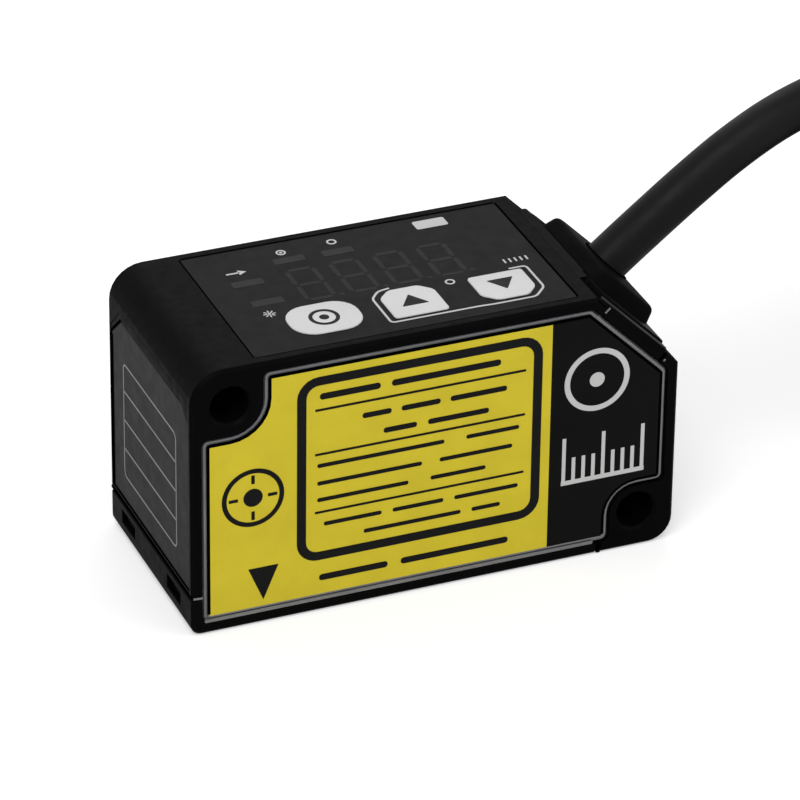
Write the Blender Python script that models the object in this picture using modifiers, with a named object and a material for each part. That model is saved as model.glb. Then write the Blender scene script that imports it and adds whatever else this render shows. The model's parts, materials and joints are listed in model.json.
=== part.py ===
"""Compact laser displacement sensor with its cable.

A die-cast housing 44 x 20 x 25 mm carries a side plate, a snap-on front cover with two windows, a
display film with three keys below it, and a cable that leaves through a boot on the 45 degree corner.
Inside are the optical bench with the laser and the receiver, three boards, light pipes and key plungers.

Frame: +X along the length, towards the cable corner; -Y is the face with the side plate; +Z is up.
The origin is at the middle of the underside. All sizes are in metres.
"""

import math

import bmesh
import bpy
from mathutils import Matrix, Vector

# Housing
BODY_LENGTH = 0.0440
BODY_DEPTH = 0.0200
BODY_HEIGHT = 0.0250
WALL = 0.0016
CORNER_CUT = 0.0077
TOP_CORNER_RADIUS = 0.0030
HEEL_RADIUS = 0.0022
EDGE_BREAK = 0.00025
SEAM = 0.00015
SEAT_GAP = 0.00010
LOOSE_GAP = 0.00020

# Mounting holes, two on a diagonal, right through the depth
HOLE_RADIUS = 0.0017
HOLE_INSET_X = 0.0035
HOLE_INSET_Z = 0.0035
HOLE_BOSS_WALL = 0.0018
HOLE_COUNTERSINK = 0.00025
FOOT_BOSS_ROUND = 0.0035

# Side plate and its label, let into the -Y face
PLATE_RIM = 0.0010
PLATE_THICKNESS = 0.0005
PLATE_BREAK = 0.00015
PLATE_CORNER_RADIUS = 0.0006
PLATE_LAND_UPPER = 0.00295
PLATE_LAND_LOWER = 0.00250
LABEL_MARGIN = 0.00045
LABEL_CORNER_RADIUS = 0.0003
LABEL_THICKNESS = 0.00012
FILM_GAP = 0.00003
RIM_STEP = 0.00010

# Front cover, the moulded tray at the foot that holds the two windows
COVER_HEIGHT = 0.0036
COVER_SHORTFALL = 0.0070
COVER_WALL = 0.0016
COVER_FLOOR = 0.0014
COVER_CORNER_RADIUS = 0.0009
LATCH_SLOT_WIDTH = 0.0033
LATCH_SLOT_HEIGHT = 0.00135
LATCH_SLOT_Z = 0.0021
LATCH_INSET_Y = 0.0044
LATCH_TONGUE_THICKNESS = 0.0008
LATCH_ROOT_HEIGHT = 0.0022
LATCH_RECESS = 0.0004
GASKET_WIDTH = 0.0007
GASKET_HEIGHT = 0.0012

# Windows
PANE_THICKNESS = 0.0009
PANE_LEDGE = 0.0006
PANE_SINK = 0.00010
EMITTER_OPENING = (0.0058, 0.0074)
RECEIVER_OPENING_DEPTH = 0.0104
WINDOW_RIB = 0.0045
WINDOW_END_MARGIN = 0.0069

# Optics. An inset is measured in from the body's left or right end, a drop down from a top.
BEAM_INSET_X = 0.0064
BENCH_FOOT = 0.0006
BENCH_SIDE_GAP = 0.0003
BENCH_DROP = 0.0073
BENCH_INSET_X = 0.0088
BENCH_CORNER_RADIUS = 0.0004
BENCH_SLOPE_DEGREES = 40.0
BENCH_SLOPE_INSET_X = 0.0187
BENCH_POCKET_WIDTH = 0.0036
BENCH_POCKET_DEPTH = 0.0048
BENCH_POCKET_EDGE = 0.0030
UPPER_BENCH_SCREW = (0.0124, 0.0017)
LOWER_BENCH_SCREW = (0.0112, 0.0060)
LASER_BORE_RADIUS = 0.0035
LASER_HOLDER_WALL = 0.0010
LASER_HOLDER_FOOT = 0.0016
LASER_HOLDER_DROP = 0.0033
LASER_HOLDER_LIP = 0.0003
COLLIMATOR_THICKNESS = 0.0018
COLLIMATOR_CROWN = 0.0006
LASER_FLANGE_RADIUS = 0.0028
LASER_FLANGE_HEIGHT = 0.0012
LASER_CAN_RADIUS = 0.0021
LASER_CAN_HEIGHT = 0.0022
RECEIVER_INSET_X = 0.0190
RECEIVER_LENS_Z = 0.0074
RECEIVER_TILT_DEGREES = 20.0
RECEIVER_LENS_RADIUS = 0.0032
RECEIVER_LENS_THICKNESS = 0.0024
RECEIVER_LENS_CROWN = 0.0010
RECEIVER_RING_WIDTH = 0.0008
RECEIVER_RING_HEIGHT = 0.0010
TUNNEL_WIDTH = 0.0062
TUNNEL_DEPTH = 0.0072
IMAGE_CHIP = (0.0056, 0.0046, 0.0011)
SENSOR_BOARD_LENGTH = 0.0098
SENSOR_BOARD_OVERHANG = 0.0015
SENSOR_BOARD_NEAR_GAP = 0.0005
SENSOR_BOARD_FAR_GAP = 0.0026

# Boards
BOARD_THICKNESS = 0.0008
MAIN_BOARD_ROOM = 0.0020
MAIN_BOARD_DROP = 0.0076
MAIN_BOARD_FOOT = 0.0058
MAIN_BOARD_LEFT_INSET = 0.0022
MAIN_BOARD_RIGHT_INSET = 0.0094
LEFT_BOARD_SCREW = (0.0114, 0.0074)
RIGHT_BOARD_SCREW = (0.0136, 0.0080)
PROCESSOR_SIZE = (0.0050, 0.0050, 0.0006)
PROCESSOR_INSET_X = 0.0168
BOARD_LINK_LENGTH = 0.0096
BOARD_LINK_DEPTH = 0.0008
BOARD_LINK_X = -0.0020
DISPLAY_BOARD_DROP = 0.0052
DISPLAY_BOARD_LEFT_INSET = 0.0072
DISPLAY_BOARD_RIGHT_INSET = 0.0108
DISPLAY_BOARD_MARGIN = 0.0003
CONNECTOR_SIZE = (0.0026, 0.0022, 0.0036)
CONNECTOR_INSET_X = 0.0108
CONNECTOR_DROP = 0.0019
INNER_LEAD_DIAMETER = 0.0004
INNER_LEAD_RUN_OUT = 0.0012
INNER_LEAD_RUN_IN = 0.0016
INNER_LEAD_SPACING = 0.0007
SCREW_RADIUS = 0.0007
SCREW_HEAD_RADIUS = 0.0013
SCREW_HEAD_HEIGHT = 0.0006
SCREW_HEAD_CHAMFER = 0.00025
SCREW_PILOT = 0.0020

# Display film and what shows through it, placed from the film's own edges
FILM_THICKNESS = 0.0002
FILM_INSET_LEFT = 0.0060
FILM_INSET_RIGHT = 0.0014
FILM_INSET_SIDE = 0.0010
FILM_CORNER_RADIUS = 0.0004
DISPLAY_LEFT_MARGIN = 0.0088
DISPLAY_RIGHT_MARGIN = 0.0069
DISPLAY_NEAR_MARGIN = 0.0074
DISPLAY_FAR_MARGIN = 0.0048
DISPLAY_CLEARANCE = 0.0002
LAMP_SIZE = (0.0028, 0.0010)
LAMP_INSETS = ((0.0040, 0.0059), (0.0044, 0.0095), (0.0087, 0.0033), (0.0131, 0.0034))
LAMP_CHIP = (0.0016, 0.0008, 0.0006)

# Keys: a plunger below the film at each printed key
LEFT_KEY_INSET = (0.0078, 0.0042)
RIGHT_KEY_INSET = (0.0052, 0.0040)
KEY_NAMES = ("left", "middle", "right")
KEY_TRAVEL = 0.00025
KEY_PLUNGER_RADIUS = 0.0013
KEY_PLUNGER_CHAMFER = 0.0002
KEY_GUIDE_GAP = 0.0001
KEY_PIN_RADIUS = 0.0007
SWITCH_SIZE = (0.0034, 0.0034, 0.0015)

# End label, let into the -X face
END_LABEL_MARGIN = 0.0006
END_LABEL_CORNER = 0.0022
END_LABEL_FOOT = 0.00025

# Cable exit on the cut corner; s runs down the corner face, n out of it
PLUG_LENGTH = 0.0077
PLUG_END_Y = 0.0056
PLUG_RISE = 0.0003
PAD_RISE = 0.0006
PAD_SPAN_S = (-0.0060, 0.0046)
PAD_SPAN_Y = (-0.0054, 0.0064)
PAD_RADIUS = 0.0026
BOOT_LENGTH_Y = 0.0116
BOOT_LENGTH_S = 0.0068
BOOT_CENTRE_Y = 0.0002
BOOT_RADIUS = 0.0022
BOOT_THICKNESS = 0.0012
BOOT_EDGE = 0.0005
BOOT_NECK_WALL = 0.0009
CLAMP_LENGTH = 0.0014
CLAMP_WALL = 0.0008
CABLE_TAIL_INSIDE = 0.0004

# Cable: route of the free stretch, then a hank on the floor held by a tie
CABLE_DIAMETER = 0.0040
CABLE_ROUTE = (
    (0.0235, 0.0000, 0.0257),
    (0.0277, 0.0000, 0.0289),
    (0.0312, 0.0000, 0.0313),
    (0.0350, 0.0002, 0.0332),
    (0.0390, 0.0007, 0.0343),
    (0.0430, 0.0017, 0.0345),
    (0.0470, 0.0031, 0.0338),
    (0.0510, 0.0047, 0.0323),
    (0.0550, 0.0066, 0.0304),
    (0.0590, 0.0085, 0.0287),
    (0.0630, 0.0104, 0.0276),
)
HANK_START_X = 0.0465
HANK_LAYERS = 6
HANK_COLUMNS = 2
HANK_INNER_RADIUS = 0.0120
HANK_STRAIGHT = 0.0400
TIE_THICKNESS = 0.0006
TIE_WIDTH = 0.0050
TIE_CORNER_RADIUS = 0.0006
TAIL_RUN_IN = 0.0011
LEAD_DIAMETER = 0.0011
LEAD_LENGTH = 0.0300
LEAD_SPREAD = 0.0024
LEAD_TOUCHDOWN = 0.0135
LEAD_TOUCHDOWN_SPREAD = 0.0018
LEAD_DRIFT = 0.0069
LEAD_TOUCHDOWN_DRIFT = 0.0022
LEAD_END_MARGIN = 0.0035
LEAD_SPACING = 0.0025
LEAD_START_DEGREES = (162.0, 234.0, 90.0, 306.0, 18.0)
LEAD_NAMES = ("brown", "blue", "black", "grey", "pink")
LEAD_COLOURS = (
    (0.20, 0.07, 0.03),
    (0.02, 0.10, 0.50),
    (0.02, 0.02, 0.02),
    (0.25, 0.25, 0.25),
    (0.80, 0.25, 0.35),
)

# Facets
ARC_STEP_DEGREES = 15.0
TURNED_STEPS = 24
SMALL_TURNED_STEPS = 16
LENS_STEPS = 5
CABLE_SPACING = 0.0027
MERGE_DISTANCE = 1e-6
OVERCUT = 0.0010

LEFT = -BODY_LENGTH / 2
RIGHT = BODY_LENGTH / 2
FRONT = -BODY_DEPTH / 2
BACK = BODY_DEPTH / 2
TOP = BODY_HEIGHT
DIAGONAL = math.sqrt(2.0)
CUT_CENTRE = Vector((RIGHT - CORNER_CUT / 2, 0.0, TOP - CORNER_CUT / 2))
CUT_TURN = (0.0, math.radians(45.0), 0.0)
CUT_NORMAL = Vector((1.0, 0.0, 1.0)).normalized()
UPPER_HOLE = (LEFT + HOLE_INSET_X, TOP - HOLE_INSET_Z)
LOWER_HOLE = (RIGHT - HOLE_INSET_X, HOLE_INSET_Z)
BOSS_RADIUS = HOLE_RADIUS + HOLE_BOSS_WALL
COVER_END = RIGHT - COVER_SHORTFALL
HOUSING_FOOT = COVER_HEIGHT
RECESS_DEPTH = PLATE_THICKNESS + LABEL_THICKNESS + 2 * FILM_GAP + RIM_STEP
PLATE_FACE = FRONT + RECESS_DEPTH
INNER_BACK = BACK - WALL
LATCH_OFFSET_Y = BODY_DEPTH / 2 - LATCH_INSET_Y
LATCH_WIDTH = LATCH_SLOT_WIDTH - 2 * LOOSE_GAP
UPRIGHT = (math.radians(90.0), 0.0, 0.0)
END_TURN = (math.radians(90.0), 0.0, math.radians(90.0))

FILM_LEFT = LEFT + FILM_INSET_LEFT
FILM_RIGHT = RIGHT - CORNER_CUT - FILM_INSET_RIGHT
FILM_NEAR = FRONT + FILM_INSET_SIDE
FILM_FAR = BACK - FILM_INSET_SIDE
FILM_RECESS = FILM_THICKNESS + 2 * FILM_GAP
DISPLAY_LEFT = FILM_LEFT + DISPLAY_LEFT_MARGIN
DISPLAY_RIGHT = FILM_RIGHT - DISPLAY_RIGHT_MARGIN
DISPLAY_NEAR = FILM_NEAR + DISPLAY_NEAR_MARGIN
DISPLAY_FAR = FILM_FAR - DISPLAY_FAR_MARGIN
DISPLAY_SIZE = (DISPLAY_RIGHT - DISPLAY_LEFT, DISPLAY_FAR - DISPLAY_NEAR)
DISPLAY_CENTRE = ((DISPLAY_LEFT + DISPLAY_RIGHT) / 2, (DISPLAY_NEAR + DISPLAY_FAR) / 2)
LAMP_PLACES = [(FILM_LEFT + across, FILM_FAR - down) for across, down in LAMP_INSETS]
LEFT_KEY = (FILM_LEFT + LEFT_KEY_INSET[0], FILM_NEAR + LEFT_KEY_INSET[1])
RIGHT_KEY = (FILM_RIGHT - RIGHT_KEY_INSET[0], FILM_NEAR + RIGHT_KEY_INSET[1])
MIDDLE_KEY = ((LEFT_KEY[0] + RIGHT_KEY[0]) / 2, RIGHT_KEY[1])
KEY_PLACES = (LEFT_KEY, MIDDLE_KEY, RIGHT_KEY)

DISPLAY_BOARD_Z = TOP - DISPLAY_BOARD_DROP
DISPLAY_BOARD_TOP = DISPLAY_BOARD_Z + BOARD_THICKNESS
MAIN_BOARD_NEAR = PLATE_FACE + MAIN_BOARD_ROOM
MAIN_BOARD_FAR = MAIN_BOARD_NEAR + BOARD_THICKNESS
MAIN_BOARD_TOP = TOP - MAIN_BOARD_DROP
CONNECTOR_PLACE = (RIGHT - CONNECTOR_INSET_X, MAIN_BOARD_TOP - CONNECTOR_DROP)
PROCESSOR_PLACE = (LEFT + PROCESSOR_INSET_X, (MAIN_BOARD_FOOT + MAIN_BOARD_TOP) / 2)
BENCH_NEAR = MAIN_BOARD_FAR + SEAT_GAP
BENCH_FAR = INNER_BACK - SEAT_GAP
BENCH_TOP = TOP - BENCH_DROP
BENCH_UNDERSIDE = HOUSING_FOOT + BENCH_FOOT
BENCH_SLOPE = math.radians(BENCH_SLOPE_DEGREES)
BENCH_SLOPE_X = RIGHT - BENCH_SLOPE_INSET_X
BENCH_SLOPE_OFFSET = BENCH_SLOPE_X * math.sin(BENCH_SLOPE) + BENCH_TOP * math.cos(BENCH_SLOPE)
BENCH_SCREW_PLACES = (
    (LEFT + UPPER_BENCH_SCREW[0], BENCH_TOP - UPPER_BENCH_SCREW[1]),
    (RIGHT - LOWER_BENCH_SCREW[0], LOWER_BENCH_SCREW[1]),
)
BOARD_SCREW_PLACES = (
    (LEFT + LEFT_BOARD_SCREW[0], LEFT_BOARD_SCREW[1]),
    (RIGHT - RIGHT_BOARD_SCREW[0], RIGHT_BOARD_SCREW[1]),
)
BEAM_X = LEFT + BEAM_INSET_X
RECEIVER_TILT = math.radians(RECEIVER_TILT_DEGREES)
RECEIVER_PLACE = Vector((RIGHT - RECEIVER_INSET_X, 0.0, RECEIVER_LENS_Z))
RECEIVER_TURN = (0.0, RECEIVER_TILT, 0.0)

CABLE_RADIUS = CABLE_DIAMETER / 2
BORE_RADIUS = CABLE_RADIUS + SEAT_GAP
BOOT_SEAT = PAD_RISE + SEAT_GAP
SHEATH_END = -WALL - SEAT_GAP - CLAMP_LENGTH - CABLE_TAIL_INSIDE


def clear_scene():
    for thing in list(bpy.data.objects):
        bpy.data.objects.remove(thing, do_unlink=True)


def new_collection(name, hidden=False):
    collection = bpy.data.collections.new(name)
    bpy.context.scene.collection.children.link(collection)
    collection.hide_render = hidden
    return collection


def principled(name, colour, roughness, metallic=0.0, alpha=1.0):
    material = bpy.data.materials.new(name)
    material.use_nodes = True
    shader = material.node_tree.nodes["Principled BSDF"]
    shader.inputs["Base Color"].default_value = (*colour, 1.0)
    shader.inputs["Roughness"].default_value = roughness
    shader.inputs["Metallic"].default_value = metallic
    shader.inputs["Alpha"].default_value = alpha
    return material


def place(name, mesh, collection, material=None, location=(0, 0, 0), rotation=(0, 0, 0)):
    thing = bpy.data.objects.new(name, mesh)
    thing.location = location
    thing.rotation_euler = rotation
    collection.objects.link(thing)
    if material is not None:
        mesh.materials.append(material)
    else:
        thing.hide_render = True
        thing.display_type = "WIRE"
    return thing


def shade_round(thing, angle=35.0):
    thing.data.shade_smooth()
    thing.data.set_sharp_from_angle(angle=math.radians(angle))


def box(name, low, high, collection, material=None, location=(0, 0, 0), rotation=(0, 0, 0)):
    """A block between two corners, given in the object's own frame."""
    mesh = bpy.data.meshes.new(name)
    shape = bmesh.new()
    bmesh.ops.create_cube(shape, size=1.0)
    for vertex in shape.verts:
        vertex.co = Vector(
            low[axis] + (vertex.co[axis] + 0.5) * (high[axis] - low[axis]) for axis in range(3)
        )
    shape.to_mesh(mesh)
    shape.free()
    return place(name, mesh, collection, material, location, rotation)


def rod(name, radius, length, collection, location=(0, 0, 0), rotation=(0, 0, 0), steps=TURNED_STEPS):
    """A cylinder along its own Z, centred on its origin, that cuts or joins another piece."""
    mesh = bpy.data.meshes.new(name)
    shape = bmesh.new()
    bmesh.ops.create_cone(
        shape, cap_ends=True, segments=steps, radius1=radius, radius2=radius, depth=length
    )
    shape.to_mesh(mesh)
    shape.free()
    return place(name, mesh, collection, location=location, rotation=rotation)


def rounded(corners):
    """The outline through (a, b, radius) corners, with each corner replaced by an arc of its radius."""
    outline = []
    count = len(corners)
    for index, (a, b, radius) in enumerate(corners):
        here = Vector((a, b))
        if radius <= 0.0:
            outline.append(here)
            continue
        before = (Vector(corners[index - 1][:2]) - here).normalized()
        after = (Vector(corners[(index + 1) % count][:2]) - here).normalized()
        half = before.angle(after) / 2
        centre = here + (before + after).normalized() * (radius / math.sin(half))
        start = here + before * (radius / math.tan(half)) - centre
        end = here + after * (radius / math.tan(half)) - centre
        sweep = start.angle_signed(end)
        steps = max(2, math.ceil(abs(math.degrees(sweep)) / ARC_STEP_DEGREES))
        for step in range(steps + 1):
            turn = Matrix.Rotation(-sweep * step / steps, 2)
            outline.append(centre + turn @ start)
    return outline


def rounded_box(width, height, radius, centre=(0.0, 0.0)):
    a, b = centre
    return rounded(
        [
            (a - width / 2, b - height / 2, radius),
            (a + width / 2, b - height / 2, radius),
            (a + width / 2, b + height / 2, radius),
            (a - width / 2, b + height / 2, radius),
        ]
    )


def extrusion(
    name, outlines, low, high, collection, material=None, upright=False, location=(0, 0, 0), rotation=(0, 0, 0)
):
    """A flat curve, filled and given a thickness from low to high along its normal, made a mesh.

    An upright outline lies in X and Z and its thickness runs along Y. Otherwise it lies in the
    object's own X and Y and its thickness runs along its own Z.
    """
    curve = bpy.data.curves.new(name, "CURVE")
    curve.dimensions = "2D"
    curve.fill_mode = "BOTH"
    curve.extrude = (high - low) / 2
    for outline in outlines:
        spline = curve.splines.new("POLY")
        spline.points.add(len(outline) - 1)
        for point, place_2d in zip(spline.points, outline):
            point.co = (place_2d[0], place_2d[1], 0.0, 1.0)
        spline.use_cyclic_u = True
    guide = bpy.data.objects.new(name + "_guide", curve)
    collection.objects.link(guide)
    graph = bpy.context.evaluated_depsgraph_get()
    mesh = bpy.data.meshes.new_from_object(guide.evaluated_get(graph))
    bpy.data.objects.remove(guide, do_unlink=True)
    bpy.data.curves.remove(curve)
    mesh.name = name
    middle = (low + high) / 2
    shape = bmesh.new()
    shape.from_mesh(mesh)
    bmesh.ops.remove_doubles(shape, verts=shape.verts, dist=MERGE_DISTANCE)
    bmesh.ops.dissolve_limit(shape, angle_limit=math.radians(0.5), verts=shape.verts, edges=shape.edges)
    bmesh.ops.translate(shape, verts=shape.verts, vec=(0.0, 0.0, -middle if upright else middle))
    if upright:
        bmesh.ops.rotate(shape, verts=shape.verts, cent=(0, 0, 0), matrix=Matrix.Rotation(math.pi / 2, 3, "X"))
    bmesh.ops.recalc_face_normals(shape, faces=shape.faces)
    shape.to_mesh(mesh)
    shape.free()
    mesh.materials.clear()
    thing = place(name, mesh, collection, material, location, rotation)
    shade_round(thing)
    return thing


def turned(
    name,
    profile,
    collection,
    material=None,
    location=(0, 0, 0),
    rotation=(0, 0, 0),
    closed=False,
    steps=TURNED_STEPS,
):
    """A profile of (radius, z) points, outer side from top to bottom, spun about its own Z."""
    mesh = bpy.data.meshes.new(name)
    count = len(profile)
    edges = [(index, index + 1) for index in range(count - 1)]
    if closed:
        edges.append((count - 1, 0))
    mesh.from_pydata([(radius, 0.0, z) for radius, z in profile], edges, [])
    thing = place(name, mesh, collection, material, location, rotation)
    screw = thing.modifiers.new("Spin", "SCREW")
    screw.axis = "Z"
    screw.angle = math.tau
    screw.steps = screw.render_steps = steps
    screw.use_merge_vertices = True
    screw.merge_threshold = MERGE_DISTANCE
    return thing


def soften(thing, width, segments=1, angle=50.0):
    bevel = thing.modifiers.new("Edge break", "BEVEL")
    bevel.width = width
    bevel.segments = segments
    bevel.limit_method = "ANGLE"
    bevel.angle_limit = math.radians(angle)
    bevel.use_clamp_overlap = True


def boolean(thing, other, operation):
    modifier = thing.modifiers.new(f"{operation.title()} {other.name}", "BOOLEAN")
    modifier.operation = operation
    modifier.solver = "EXACT"
    modifier.object = other


def cut(thing, *others):
    for other in others:
        boolean(thing, other, "DIFFERENCE")


def join(thing, *others):
    for other in others:
        boolean(thing, other, "UNION")


def smooth_route(points, spacing):
    """Points along a Catmull-Rom curve through the given ones, about as far apart as spacing."""
    knots = [Vector(point) for point in points]
    knots = [knots[0] * 2 - knots[1], *knots, knots[-1] * 2 - knots[-2]]
    route = []
    for a, b, c, d in zip(knots, knots[1:], knots[2:], knots[3:]):
        steps = max(1, round((c - b).length / spacing))
        for step in range(steps):
            t = step / steps
            square = (2 * a - 5 * b + 4 * c - d) * t**2
            cube = (3 * b - a - 3 * c + d) * t**3
            route.append(0.5 * (2 * b + (c - a) * t + square + cube))
    route.append(knots[-2])
    return route


def tube(name, points, radius, collection, material, resolution=2):
    curve = bpy.data.curves.new(name, "CURVE")
    curve.dimensions = "3D"
    curve.bevel_depth = radius
    curve.bevel_resolution = resolution
    curve.use_fill_caps = True
    spline = curve.splines.new("POLY")
    spline.points.add(len(points) - 1)
    for point, place_3d in zip(spline.points, points):
        point.co = (*place_3d, 1.0)
    curve.materials.append(material)
    thing = bpy.data.objects.new(name, curve)
    collection.objects.link(thing)
    return thing


def side_outline(inset, upper_land, lower_land, radius):
    """The side plate's outline, at an inset from the body's profile, round the two mounting holes.

    A land is how far the edge stays from a hole's centre.
    """
    slope = (RIGHT + TOP - CORNER_CUT) - inset * DIAGONAL
    upper_x, upper_z = UPPER_HOLE
    lower_x, lower_z = LOWER_HOLE
    top = TOP - inset
    right = RIGHT - inset
    return rounded(
        [
            (upper_x + upper_land, top, radius),
            (slope - top, top, radius),
            (right, slope - right, radius),
            (right, lower_z + lower_land, radius),
            (lower_x - lower_land, lower_z + lower_land, lower_land),
            (lower_x - lower_land, inset, radius),
            (LEFT + inset, inset, radius),
            (LEFT + inset, upper_z - upper_land, radius),
            (upper_x + upper_land, upper_z - upper_land, upper_land),
        ]
    )


def corner_point(s, y, n):
    """A point given down (s), across (y) and out of (n) the cut corner."""
    return CUT_CENTRE + Matrix.Rotation(CUT_TURN[1], 3, "Y") @ Vector((s, y, n))


def make_plate_recess(cutters):
    return extrusion(
        "cut_plate_recess",
        [
            side_outline(
                PLATE_RIM - SEAT_GAP / 2,
                PLATE_LAND_UPPER - SEAT_GAP / 2,
                PLATE_LAND_LOWER - SEAT_GAP / 2,
                PLATE_CORNER_RADIUS,
            )
        ],
        FRONT - OVERCUT,
        PLATE_FACE,
        cutters,
        upright=True,
    )


def make_housing(parts, cutters, recess):
    """The die-cast housing: open towards the side plate and towards the front cover."""
    step = COVER_END + SEAM
    profile = rounded(
        [
            (LEFT, HOUSING_FOOT, 0.0),
            (LEFT, TOP, TOP_CORNER_RADIUS),
            (RIGHT - CORNER_CUT, TOP, 0.0),
            (RIGHT, TOP - CORNER_CUT, 0.0),
            (RIGHT, 0.0, HEEL_RADIUS),
            (step, 0.0, 0.0),
            (step, HOUSING_FOOT, 0.0),
        ]
    )
    metal = principled("black_casting", (0.018, 0.018, 0.019), 0.55)
    housing = extrusion("housing", [profile], FRONT, BACK, parts, metal, upright=True)
    soften(housing, EDGE_BREAK, angle=60.0)

    pad = extrusion(
        "join_cable_pad",
        [
            rounded_box(
                PAD_SPAN_S[1] - PAD_SPAN_S[0], PAD_SPAN_Y[1] - PAD_SPAN_Y[0], PAD_RADIUS,
                (sum(PAD_SPAN_S) / 2, sum(PAD_SPAN_Y) / 2),
            )
        ],
        -WALL / 2, PAD_RISE, cutters, location=CUT_CENTRE, rotation=CUT_TURN,
    )
    above = box(
        "cut_above_pad", (RIGHT - CORNER_CUT - 4 * WALL, FRONT, TOP), (RIGHT, BACK, TOP + CORNER_CUT), cutters
    )
    cut(pad, above)

    upper_x, upper_z = UPPER_HOLE
    lower_x, lower_z = LOWER_HOLE
    inner_slope = (RIGHT + TOP - CORNER_CUT) - WALL * DIAGONAL
    inner_right = RIGHT - WALL
    inner_top = TOP - WALL
    mouth = step - WALL
    foot_wall_top = lower_z + lower_x - mouth
    cavity = extrusion(
        "cut_cavity",
        [
            rounded(
                [
                    (LEFT + WALL, HOUSING_FOOT - OVERCUT, 0.0),
                    (LEFT + WALL, upper_z - BOSS_RADIUS, PLATE_CORNER_RADIUS),
                    (upper_x + BOSS_RADIUS, upper_z - BOSS_RADIUS, BOSS_RADIUS),
                    (upper_x + BOSS_RADIUS, inner_top, PLATE_CORNER_RADIUS),
                    (inner_slope - inner_top, inner_top, 0.0),
                    (inner_right, inner_slope - inner_right, 0.0),
                    (inner_right, foot_wall_top, PLATE_CORNER_RADIUS),
                    (mouth, foot_wall_top, FOOT_BOSS_ROUND),
                    (mouth, HOUSING_FOOT - OVERCUT, 0.0),
                ]
            )
        ],
        FRONT - OVERCUT, INNER_BACK, cutters, upright=True,
    )

    slot = box(
        "cut_plug_slot",
        (-PLUG_LENGTH / 2 - SEAT_GAP, FRONT - OVERCUT, -WALL - OVERCUT),
        (PLUG_LENGTH / 2 + SEAT_GAP, PLUG_END_Y + SEAT_GAP, PAD_RISE + OVERCUT),
        cutters, location=CUT_CENTRE, rotation=CUT_TURN,
    )
    film = extrusion("cut_film_recess", [film_outline(-FILM_GAP)], TOP - FILM_RECESS, TOP + OVERCUT, cutters)
    label = extrusion(
        "cut_end_recess", [end_label_outline(-FILM_GAP)], -OVERCUT, LABEL_THICKNESS + 2 * FILM_GAP, cutters,
        location=(LEFT, 0.0, 0.0), rotation=END_TURN,
    )
    join(housing, pad)
    cut(housing, cavity, slot, recess, film, label)
    for number, (x, z) in enumerate((UPPER_HOLE, LOWER_HOLE), 1):
        hole = turned(
            f"cut_mounting_hole_{number}", hole_profile(), cutters, location=(x, 0.0, z), rotation=UPRIGHT
        )
        cut(housing, hole)
    cut(housing, *top_openings(cutters))
    for number, (x, z) in enumerate(BENCH_SCREW_PLACES, 1):
        blind = rod(
            f"cut_screw_seat_{number}", SCREW_RADIUS + SEAT_GAP, WALL, cutters,
            location=(x, INNER_BACK + SEAT_GAP, z), rotation=UPRIGHT, steps=SMALL_TURNED_STEPS,
        )
        cut(housing, blind)
    join(housing, *latch_hooks(cutters))
    return housing


def hole_profile():
    """A through hole with a small countersink at each face."""
    end = BODY_DEPTH / 2 + OVERCUT
    face = BODY_DEPTH / 2
    wide = HOLE_RADIUS + HOLE_COUNTERSINK
    return [
        (0.0, end),
        (wide, end),
        (wide, face),
        (HOLE_RADIUS, face - HOLE_COUNTERSINK),
        (HOLE_RADIUS, -face + HOLE_COUNTERSINK),
        (wide, -face),
        (wide, -end),
        (0.0, -end),
    ]


def top_openings(cutters):
    """The display window, the lamp slots and the key holes in the top wall."""
    low = TOP - WALL - OVERCUT
    high = TOP + OVERCUT
    gap = DISPLAY_CLEARANCE
    openings = [
        extrusion(
            "cut_display_window",
            [rounded_box(DISPLAY_SIZE[0] + 2 * gap, DISPLAY_SIZE[1] + 2 * gap, gap, DISPLAY_CENTRE)],
            low, high, cutters,
        )
    ]
    length, width = LAMP_SIZE
    for number, centre in enumerate(LAMP_PLACES, 1):
        outline = rounded_box(length + 2 * SEAT_GAP, width + 2 * SEAT_GAP, width / 3, centre)
        openings.append(extrusion(f"cut_lamp_slot_{number}", [outline], low, high, cutters))
    for name, (x, y) in zip(KEY_NAMES, KEY_PLACES):
        openings.append(
            rod(
                f"cut_key_hole_{name}", KEY_PLUNGER_RADIUS + KEY_GUIDE_GAP, high - low, cutters,
                location=(x, y, (low + high) / 2),
            )
        )
    return openings


def latch_hooks(cutters):
    """Two tongues that reach down inside the front cover, each with a nose in its slot."""
    inner = LEFT + WALL
    half = LATCH_WIDTH / 2
    low = LATCH_SLOT_Z - LATCH_SLOT_HEIGHT / 2 + LOOSE_GAP
    high = LATCH_SLOT_Z + LATCH_SLOT_HEIGHT / 2 - LOOSE_GAP
    hooks = []
    for side, y in (("back", LATCH_OFFSET_Y), ("near", -LATCH_OFFSET_Y)):
        root = box(
            f"join_latch_root_{side}",
            (inner - WALL / 2, y - half, HOUSING_FOOT + SEAM),
            (inner + SEAT_GAP + LATCH_TONGUE_THICKNESS, y + half, HOUSING_FOOT + LATCH_ROOT_HEIGHT),
            cutters,
        )
        tongue = box(
            f"join_latch_tongue_{side}",
            (inner + SEAT_GAP, y - half, low),
            (
                inner + SEAT_GAP + LATCH_TONGUE_THICKNESS - FILM_GAP,
                y + half,
                HOUSING_FOOT + LATCH_ROOT_HEIGHT / 2,
            ),
            cutters,
        )
        nose = box(
            f"join_latch_nose_{side}",
            (LEFT + LATCH_RECESS, y - half + SEAT_GAP / 2, low + SEAT_GAP / 2),
            (inner + LATCH_TONGUE_THICKNESS / 2, y + half - SEAT_GAP / 2, high),
            cutters,
        )
        hooks += [root, tongue, nose]
    return hooks


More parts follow.
